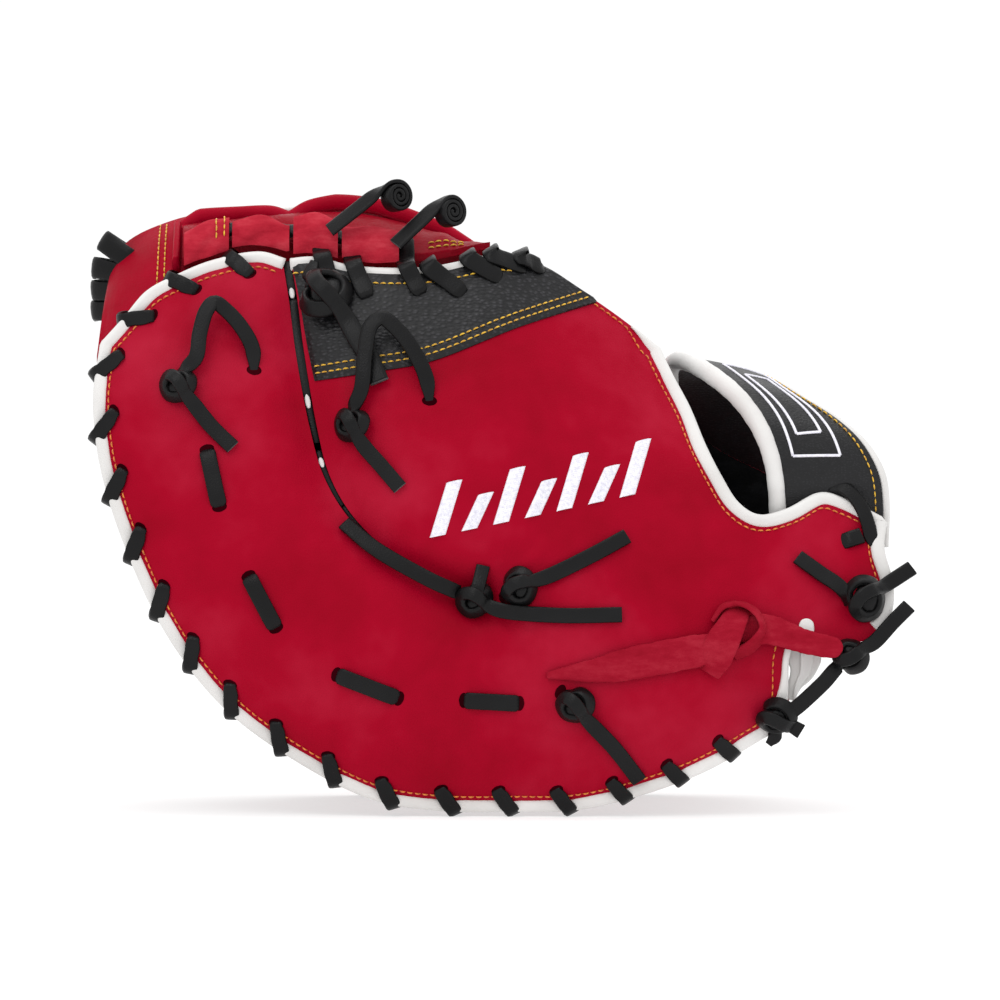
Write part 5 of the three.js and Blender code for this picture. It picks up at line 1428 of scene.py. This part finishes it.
# %% [markdown]
# Two laces stand off the leather in loops near the top, one knot sits on the panel, and a long strip leaves
# the slit with a knot of its own. Each is written as the places that the lace passes: share of length, share
# of height and how far it stands off the leather.

# %% looped laces and knots
add_strips("loop_and_knot_a", [tied_lace(
    [(-0.295, 0.796, -1.2), (-0.299, 0.834, 3.0), (-0.313, 0.868, 4.8), (-0.331, 0.894, 6.2),
     (-0.343, 0.903, 7.6), (-0.352, 0.888, 7.6), (-0.360, 0.852, 6.2), (-0.365, 0.812, 4.8)],
    (-0.385, 0.767, 3.4),
    [(-0.366, 0.734, 3.0), (-0.346, 0.698, 1.8), (-0.320, 0.661, 1.3)])], ["loop_lace_a"])
add_strips("loop_and_knot_b", [tied_lace(
    [(-0.084, 0.742, -1.2), (-0.089, 0.781, 3.6), (-0.104, 0.823, 6.0), (-0.123, 0.856, 7.8),
     (-0.139, 0.873, 9.0), (-0.151, 0.861, 9.0), (-0.158, 0.815, 7.6), (-0.163, 0.756, 5.2)],
    (-0.175, 0.697, 3.4),
    [(-0.161, 0.662, 3.0), (-0.142, 0.630, 1.8), (-0.119, 0.590, 1.3)])], ["loop_lace_b"])
add_strips("knot_on_panel", [tied_lace(
    [(-0.222, 0.985, 3.6), (-0.228, 0.955, 4.2)],
    (-0.206, 0.925, 5.0),
    [(-0.184, 0.886, 4.4), (-0.170, 0.850, 3.4), (-0.154, 0.812, 3.2), (-0.143, 0.774, 3.0)],
    radius=7.6, wide=7.0, thick=2.0, flip=-1)], ["tip_knot"])
add_strips("strip_along_slit", [
    tied_lace([(-0.188, 0.524, 1.8), (-0.154, 0.477, 3.6), (-0.107, 0.436, 4.8), (-0.066, 0.409, 6.0)],
              (-0.029, 0.383, 5.4), [(0.006, 0.371, 4.6), (0.072, 0.364, 2.0), (0.145, 0.364, 1.4)],
              radius=4.6, taper=False),
    loose_strip([(-0.028, 0.380, 7.2), (-0.023, 0.423, 6.0), (-0.020, 0.452, 0.4)], 5.0),
], ["slit_strip"])
add_strips("knot_beside_slit", [tied_lace(
    [(0.008, 0.398, -0.6)],
    (0.025, 0.412, 2.6),
    [(0.056, 0.432, 2.4), (0.110, 0.470, 1.6), (0.151, 0.502, 1.3)],
    radius=5.0)], ["side_knot"])

# %% stitches across the outer section
# how far along each stitch, and how far off the leather
STITCH_STOPS = ((-0.03, -1.6), (0.06, 0.5), (0.5, 1.1), (0.94, 0.5), (1.03, -1.6))
for name, start, end in BREAK_STITCHES:
    a, b = np.array(start), np.array(end)
    rows = [(*mix(a, b, k), lift) for k, lift in STITCH_STOPS]
    add_strips(name.replace("lace", "stitch"), [loose_strip(rows, 6.0, ends=(True, True))], [name])
add_strips("break_lace_knot", [tied_lace(
    [(0.076, 0.226, -0.8)],
    (0.090, 0.203, 2.4),
    [(0.108, 0.172, 2.4), (0.136, 0.128, 1.7), (0.166, 0.070, 1.6)],
    radius=4.8)], ["break_knot"])

# %% [markdown]
# At the heel the laces of the perimeter end in two knots, a third knot hangs on the corner of the wrist
# opening, and a short lace holds the strap's end. They use the same recipe with their own places.

# %% heel knots
add_strips("heel_knots", [
    tied_lace([(0.322, 0.128, 2.0), (0.330, 0.150, 3.6)],
              (0.331, 0.186, 4.6),
              [(0.350, 0.170, 4.8), (0.362, 0.156, 4.2)], radius=5.2),
    tied_lace([(0.336, 0.188, 6.0), (0.356, 0.204, 5.6), (0.384, 0.240, 5.4)],
              (0.418, 0.288, 5.0),
              [(0.446, 0.310, 4.4), (0.470, 0.346, 3.4), (0.490, 0.374, 2.6)],
              radius=4.6, flip=-1, taper=False),
], ["heel_lace"])
add_strips("tab_knot_lace", [
    tied_lace([(0.356, 0.463, 1.4), (0.382, 0.434, 2.0), (0.408, 0.404, 3.2)],
              (0.436, 0.386, 4.4),
              [(0.460, 0.408, 4.4), (0.478, 0.425, 3.4), (0.494, 0.440, 2.8)], radius=6.0, taper=False),
], ["tab_knot"])
add_strips("strap_end_lace", [
    loose_strip([(0.398, 0.588, 0.6), (0.412, 0.580, 2.6), (0.430, 0.552, 3.2), (0.441, 0.518, 2.2),
                 (0.447, 0.484, 0.0)], 5.2, ends=(False, True)),
    loose_strip([(0.411, 0.492, -0.8), (0.420, 0.494, 1.0), (0.434, 0.500, 1.2)], 6.0, ends=(True, False)),
], ["strap_lace"])

# %% [markdown]
# Two lace ends stand above the web, each cut square at one end and rolled up at the other. The roll is a
# spiral round a slanting axis, and the strip's flat side turns from the cut end's direction to the roll's.

# %% rolled lace ends above the web
# piece, node, cut end x and z, coil x and z
ROLLED = [
    ("rolled_end_a", "web_end_a", -0.206, 1.051, -0.126, 1.112),
    ("rolled_end_b", "web_end_b", -0.126, 1.026, -0.061, 1.084),
]
COIL_AXIS = unit(np.array([0.62, -0.80, 0.14]))
COIL_RADIUS, COIL_SHRINK, COIL_STEPS = 5.4, 4.9, 120
level = unit(np.cross([0, 0, 1.0], COIL_AXIS))
rise = np.cross(COIL_AXIS, level)
for name, node, cut_u, cut_v, coil_u, coil_v in ROLLED:
    cut_end = np.array([cut_u * LENGTH, web_near_at(cut_u)[1] - 13.5, cut_v * HEIGHT])
    coil = np.array([coil_u * LENGTH, web_near_at(coil_u)[1] - 8.5, coil_v * HEIGHT])
    spin = np.linspace(0.5 * np.pi, -5.4 * np.pi, COIL_STEPS)
    radius = COIL_RADIUS - COIL_SHRINK * np.linspace(0, 1, COIL_STEPS)
    turn = coil + radius[:, None] * (np.cos(spin)[:, None] * level + np.sin(spin)[:, None] * rise)
    lead = [cut_end, mix(cut_end, turn[0], 0.45) + [0, -0.6, 0.4]]
    lead.append(mix(cut_end, turn[0], 0.85) + [0, 0, 0.8])
    line = spline(np.vstack([lead, turn[::4]]), 190, 1200)
    share = np.linspace(0, 1, len(line))[:, None]
    blend_in = smooth(0.20, 0.34, share)
    facing = unit(np.array([-0.25, -0.75, 0.75]) * (1 - blend_in) + unit(line - coil) * blend_in)
    add_strips(name, [strip_parts(line, facing, 6.2, 1.7, 12, 4.5)], [node])

# %% [markdown]
# Between the lips of the slit one sees a black lace, shade, and in a few places light coming through. A dark
# lace that weaves along the slit is that lace where it shows and painted shade where none shows, which leaves
# the slit closed to the eye, and six short white tongues are painted light where light comes through. Their
# places are marked on the pattern like the outlines.

# %% slit
def in_slit(share, behind):
    """A place in the slit at a share of its cut length, behind the leather's face."""
    p = at(slit_line, np.asarray(share) * SLIT_END)
    return on_face(finger_face, p[..., 0], p[..., 1]) + [0, behind, 0]


# where the photograph shows light through the slit, painted here as white tongues, and their length, all in
# its pixels
GLIMPSES = [
    (288, 295, 4.0), (308, 402, 5.5), (324, 462, 4.0), (384, 565, 4.5), (419, 562, 3.0), (450, 577, 6.0),
]
# the photograph's pixel column of the mitt's middle and its pixel row of the floor
PHOTO_MIDDLE, PHOTO_FLOOR = 500, 815
CUT_STEPS = 600
cut_places = in_slit(np.linspace(0, 1, CUT_STEPS), 0.0)
cut_length = path_length(cut_places[:, [0, 2]])
parts = []
for px_x, px_z, long in GLIMPSES:
    place = np.array([(px_x - PHOTO_MIDDLE) * PIXEL, (PHOTO_FLOOR - px_z) * PIXEL])
    nearest = int(np.argmin(np.linalg.norm(cut_places[:, [0, 2]] - place, axis=1)))
    middle, reach = nearest / (CUT_STEPS - 1), 1.25 * long * PIXEL / cut_length
    line = in_slit(np.linspace(max(middle - reach, 0.01), min(middle + reach, 0.995), 16), 0.9)
    fade = np.sqrt(1 - np.linspace(-0.97, 0.97, 16) ** 2)
    parts.append(strip_parts(line, [0, -1, 0], 0.3 + 1.7 * fade, 1.0, 10, 2.4))
tongues = merge(parts)
# the white tongues are painted light where light comes through the slit
add_mesh("slit_tongues", tongues[0], tongues[1], white_leather, ["slit_welt"])

# shares of the cut length and how far behind the leather's face each bit of lace lies
WEAVE = [
    (0.01, 0.09, 1.4), (0.10, 0.33, 0.5), (0.33, 0.44, 1.8), (0.46, 0.60, 1.2), (0.60, 0.76, 1.9),
    (0.76, 0.99, 1.5),
]
parts = []
for first, last, behind in WEAVE:
    line = in_slit(np.linspace(first, last, 30), behind)
    line[:, 1] += 0.8 * np.abs(np.linspace(-1, 1, 30)) ** 3
    parts.append(strip_parts(line, [0, -1, 0], mix(3.8, 2.6, smooth(0.2, 0.5, first)), 1.5, 10, 3.0))
# the dark weave is the slit's lace where it shows and painted shade along the rest of the slit
add_strips("slit_weave", parts, ["slit_lace"])

# %% [markdown]
# In the heel notch a light folded piece of the lining closes the gap between the two halves. It is a small
# curved strip behind the binding, with a crease down its middle.

# %% heel piece
HEEL_FOLD = [
    (0.3490, 0.205, -4.0), (0.3540, 0.232, -4.2), (0.3640, 0.262, -4.6), (0.3680, 0.322, -5.0),
    (0.3710, 0.358, -5.0),
]
heel_path = spline(on_skin(HEEL_FOLD)[0], 30)
heel_wide = np.interp(np.linspace(0, 1, 31), [0, 0.23, 0.5, 0.77, 1], [2.5, 6.0, 12.5, 13.5, 11.0])
parts = [strip_parts(heel_path, [0.1, -1, 0.0], heel_wide, 1.6, 12, 4.0),
         strip_parts(heel_path + [1.0, -1.2, 0], [0.5, -1, 0.0], heel_wide * 0.42, 1.4, 12, 3.0)]
# its rounded end shows above the tie, where the notch ends
peek = spline(on_skin([(0.3655, 0.318, 0.2), (0.3665, 0.338, 0.4), (0.3675, 0.3545, 0.0)])[0], 24)
peek_skin = face_normal(finger_face, peek[:, 0], peek[:, 2], -1)
parts.append(strip_parts(peek, peek_skin, 5.8 * np.sqrt(1 - np.linspace(0, 0.98, 25) ** 6), 1.6, 12, 3.0))
heel = merge(parts)
add_mesh("heel_fold", heel[0], heel[1], white_leather, ["heel_piece"])

# %% [markdown]
# The suede tie is a broad thong, rough on both sides, knotted once over the outer section. Its left tail
# tapers, its right tail ends round, and the knot shows two folded lobes. The thong is swept with a lens
# section.

# %% suede tie
TIE_THICK = 2.0


def thong(rows, widths, steps=60, round_end=0.0):
    """A length of the thong on the leather; round_end is the radius of its far end, if it has one."""
    line = spline(on_skin(rows)[0], steps)
    skin = face_normal(finger_face, line[:, 0], line[:, 2], -1)
    share = np.linspace(0, 1, len(line))
    stops = np.linspace(0, 1, len(widths))
    ragged = 1 + 0.02 * np.sin(share * 40) + 0.015 * np.sin(share * 93)
    wide = np.interp(share, stops, widths) * ragged
    if round_end:
        near_end = np.clip(1 - (1 - share) * path_length(line) / round_end, 0, 0.97)
        wide = wide * np.sqrt(1 - near_end ** 2)
    return strip_parts(line, skin, wide, TIE_THICK, 16, 3.0)


def lobe(rows, widths, centre, steps=60):
    """A fold of the thong round the knot's middle, its flat side looking away from it."""
    line = spline(on_skin(rows)[0], steps)
    middle = on_skin([centre])[0][0]
    share = np.linspace(0, 1, len(line))
    wide = np.interp(share, np.linspace(0, 1, len(widths)), widths)
    return strip_parts(line, unit(line - middle), wide, TIE_THICK, 16, 3.0)


KNOT_MIDDLE = (0.276, 0.318, 1.2)
add_strips("suede_tie_knotted", [
    thong([(0.056, 0.257, 1.3), (0.110, 0.265, 1.6), (0.178, 0.284, 2.0), (0.240, 0.301, 2.6),
           (0.268, 0.310, 3.4)],
          [2.5, 7.5, 11.5, 12.2, 12.0, 9.5]),
    thong([(0.284, 0.334, 4.2), (0.317, 0.334, 5.0), (0.363, 0.3125, 5.2), (0.390, 0.302, 8.0),
           (0.406, 0.2985, 8.8)],
          [9.0, 10.6, 11.0, 10.2, 9.4, 8.8, 8.4, 8.0, 7.6], round_end=3.8),
    lobe([(0.248, 0.262, 1.6), (0.253, 0.288, 5.4), (0.264, 0.322, 7.4), (0.276, 0.352, 6.6),
          (0.284, 0.372, 3.0)],
         [9.0, 13.0, 12.5, 10.0, 8.0], KNOT_MIDDLE),
    lobe([(0.272, 0.372, 1.4), (0.284, 0.378, 4.6), (0.302, 0.362, 6.4), (0.310, 0.334, 6.4),
          (0.296, 0.306, 5.4), (0.276, 0.292, 3.6)],
         [5.0, 7.5, 8.0, 8.5, 9.0, 8.0], KNOT_MIDDLE),
    lobe([(0.254, 0.352, 1.2), (0.264, 0.374, 3.6), (0.280, 0.380, 4.0)], [5.0, 6.0, 5.0], KNOT_MIDDLE),
], ["suede_tie"], tie_suede, tie_suede)

# %% [markdown]
# On the inner section sits an embroidered mark: a plain row of slanted bars in white satin stitch, rising
# to the right. Each bar is a small cushion of threads laid side by side across it, so it is built as a low
# dome with ridges, on the leather's own curve.

# %% embroidered bars
MARK_START, MARK_END = (-0.084, 0.502), (0.143, 0.572)
MARK_BARS = 7
MARK_HEIGHT = 0.098
# width, slant and rise of one bar, and the threads along its width
BAR_WIDE, BAR_SLANT, BAR_RISE, BAR_THREADS = 0.019, 0.020, 0.006, 26
SATIN_LIFT = 0.75


def satin_patch(corners, threads, across=10):
    """A satin-stitched patch between four corners, given as shares of length and height, anticlockwise."""
    a, b, c, d = (np.array(corner, float) for corner in corners)
    s = np.linspace(0, 1, threads * 4 + 1)[:, None, None]
    t = np.linspace(0, 1, across + 1)[None, :, None]
    uv = mix(mix(a, b, t), mix(d, c, t), s)
    x, z = uv[..., 0] * LENGTH, uv[..., 1] * HEIGHT
    n = face_normal(finger_face, x, z, -1)
    dome = (1 - np.abs(2 * t[..., 0] - 1) ** 3) * (0.85 + 0.15 * np.cos(2 * np.pi * threads * s[..., 0]))
    base = on_face(finger_face, x, z)
    verts, faces = sheet_parts(base + n * (SATIN_LIFT * dome + 0.08)[..., None], base - n * 0.05)
    faces = outward(verts, faces)
    return verts, faces.tolist(), [0] * len(faces)


bars = []
for k in range(MARK_BARS):
    share = k / (MARK_BARS - 1)
    low = mix(np.array(MARK_START), np.array(MARK_END), share)
    tall = MARK_HEIGHT * (1.0 if k % 2 == 0 else 0.66)
    low_right = low + [BAR_WIDE, BAR_RISE]
    corners = [low, low_right, low + [BAR_WIDE + BAR_SLANT, tall + BAR_RISE], low + [BAR_SLANT, tall]]
    bars.append(satin_patch(corners, BAR_THREADS))
mark = merge(bars)
add_mesh("embroidered_bars", mark[0], mark[1], white_thread)

# %% [markdown]
# On the strap lie two plain four-sided outlines, one inside the other, in raised white thread. Each side is
# a thin strip along the strap's face, with small waves in its thickness for the single stitches.

# %% strap motif
# corners of each outline: row along the strap and share of its width
OUTLINES = [
    [(24, 0.20), (26, 0.66), (74, 0.88), (70, 0.34)],
    [(31, 0.32), (33, 0.58), (65, 0.74), (62, 0.42)],
]
strips = []
for loop in OUTLINES:
    for (i0, k0), (i1, k1) in zip(loop, loop[1:] + loop[:1]):
        i, k = np.linspace(i0, i1, 40), np.linspace(k0, k1, 40)
        line = on_strap(i, k, 0.1)
        facing = read_strap(strap_normal, i)
        ridge = 0.8 * (1 + 0.12 * np.cos(np.arange(40) * 2.1))
        strips.append(strip_parts(line, facing, 1.05, ridge, 8, 2.4))
motif = merge(strips)
add_mesh("strap_outline_motif", motif[0], motif[1], white_thread)

# %% [markdown]
# The picture is a product shot on white: an even, soft light from above and in front, and a white sheet
# under and behind the mitt that is lit from below. A white world, a sheet that glows a little and four soft
# lamps give the same almost shadowless look, with just enough direction to model the padding.

# %% floor and light
floor_mesh = bpy.data.meshes.new("studio_floor")
FLOOR = 6.0
floor_corners = [(-FLOOR, -FLOOR, 0), (FLOOR, -FLOOR, 0), (FLOOR, FLOOR, 0), (-FLOOR, FLOOR, 0)]
floor_mesh.from_pydata(floor_corners, [], [(0, 1, 2, 3)])
floor = bpy.data.objects.new("studio_floor", floor_mesh)
bpy.context.scene.collection.objects.link(floor)
floor_paint, _, floor_shader = new_material("studio_white")
floor_shader.inputs["Base Color"].default_value = (0.48, 0.48, 0.48, 1)
floor_shader.inputs["Roughness"].default_value = 0.9
floor_shader.inputs["Specular IOR Level"].default_value = 0.0
floor_shader.inputs["Emission Color"].default_value = (1, 1, 1, 1)
floor_shader.inputs["Emission Strength"].default_value = 0.60
floor_mesh.materials.append(floor_paint)

world = bpy.data.worlds.new("studio")
bpy.context.scene.world = world
world.use_nodes = True
world.node_tree.nodes["Background"].inputs[0].default_value = (1, 1, 1, 1)
world.node_tree.nodes["Background"].inputs[1].default_value = 1.03


def soft_lamp(name, place, size, power, aim=(0.0, 0.0, 0.1)):
    """A square lamp that looks at the mitt."""
    lamp = bpy.data.lights.new(name, "AREA")
    lamp.size = size
    lamp.energy = power
    obj = bpy.data.objects.new(name, lamp)
    bpy.context.scene.collection.objects.link(obj)
    obj.location = place
    away = np.array(place) - np.array(aim)
    turn = math.atan2(away[0], -away[1])
    obj.rotation_euler = (math.acos(away[2] / np.linalg.norm(away)), 0, turn)


soft_lamp("key", (-0.6, -1.1, 1.5), 0.7, 4.6)
soft_lamp("fill", (1.2, -1.2, 0.7), 1.2, 0.8)
soft_lamp("back", (0.2, 1.3, 1.4), 1.2, 4)
soft_lamp("top", (0.0, 0.0, 1.6), 0.8, 4)
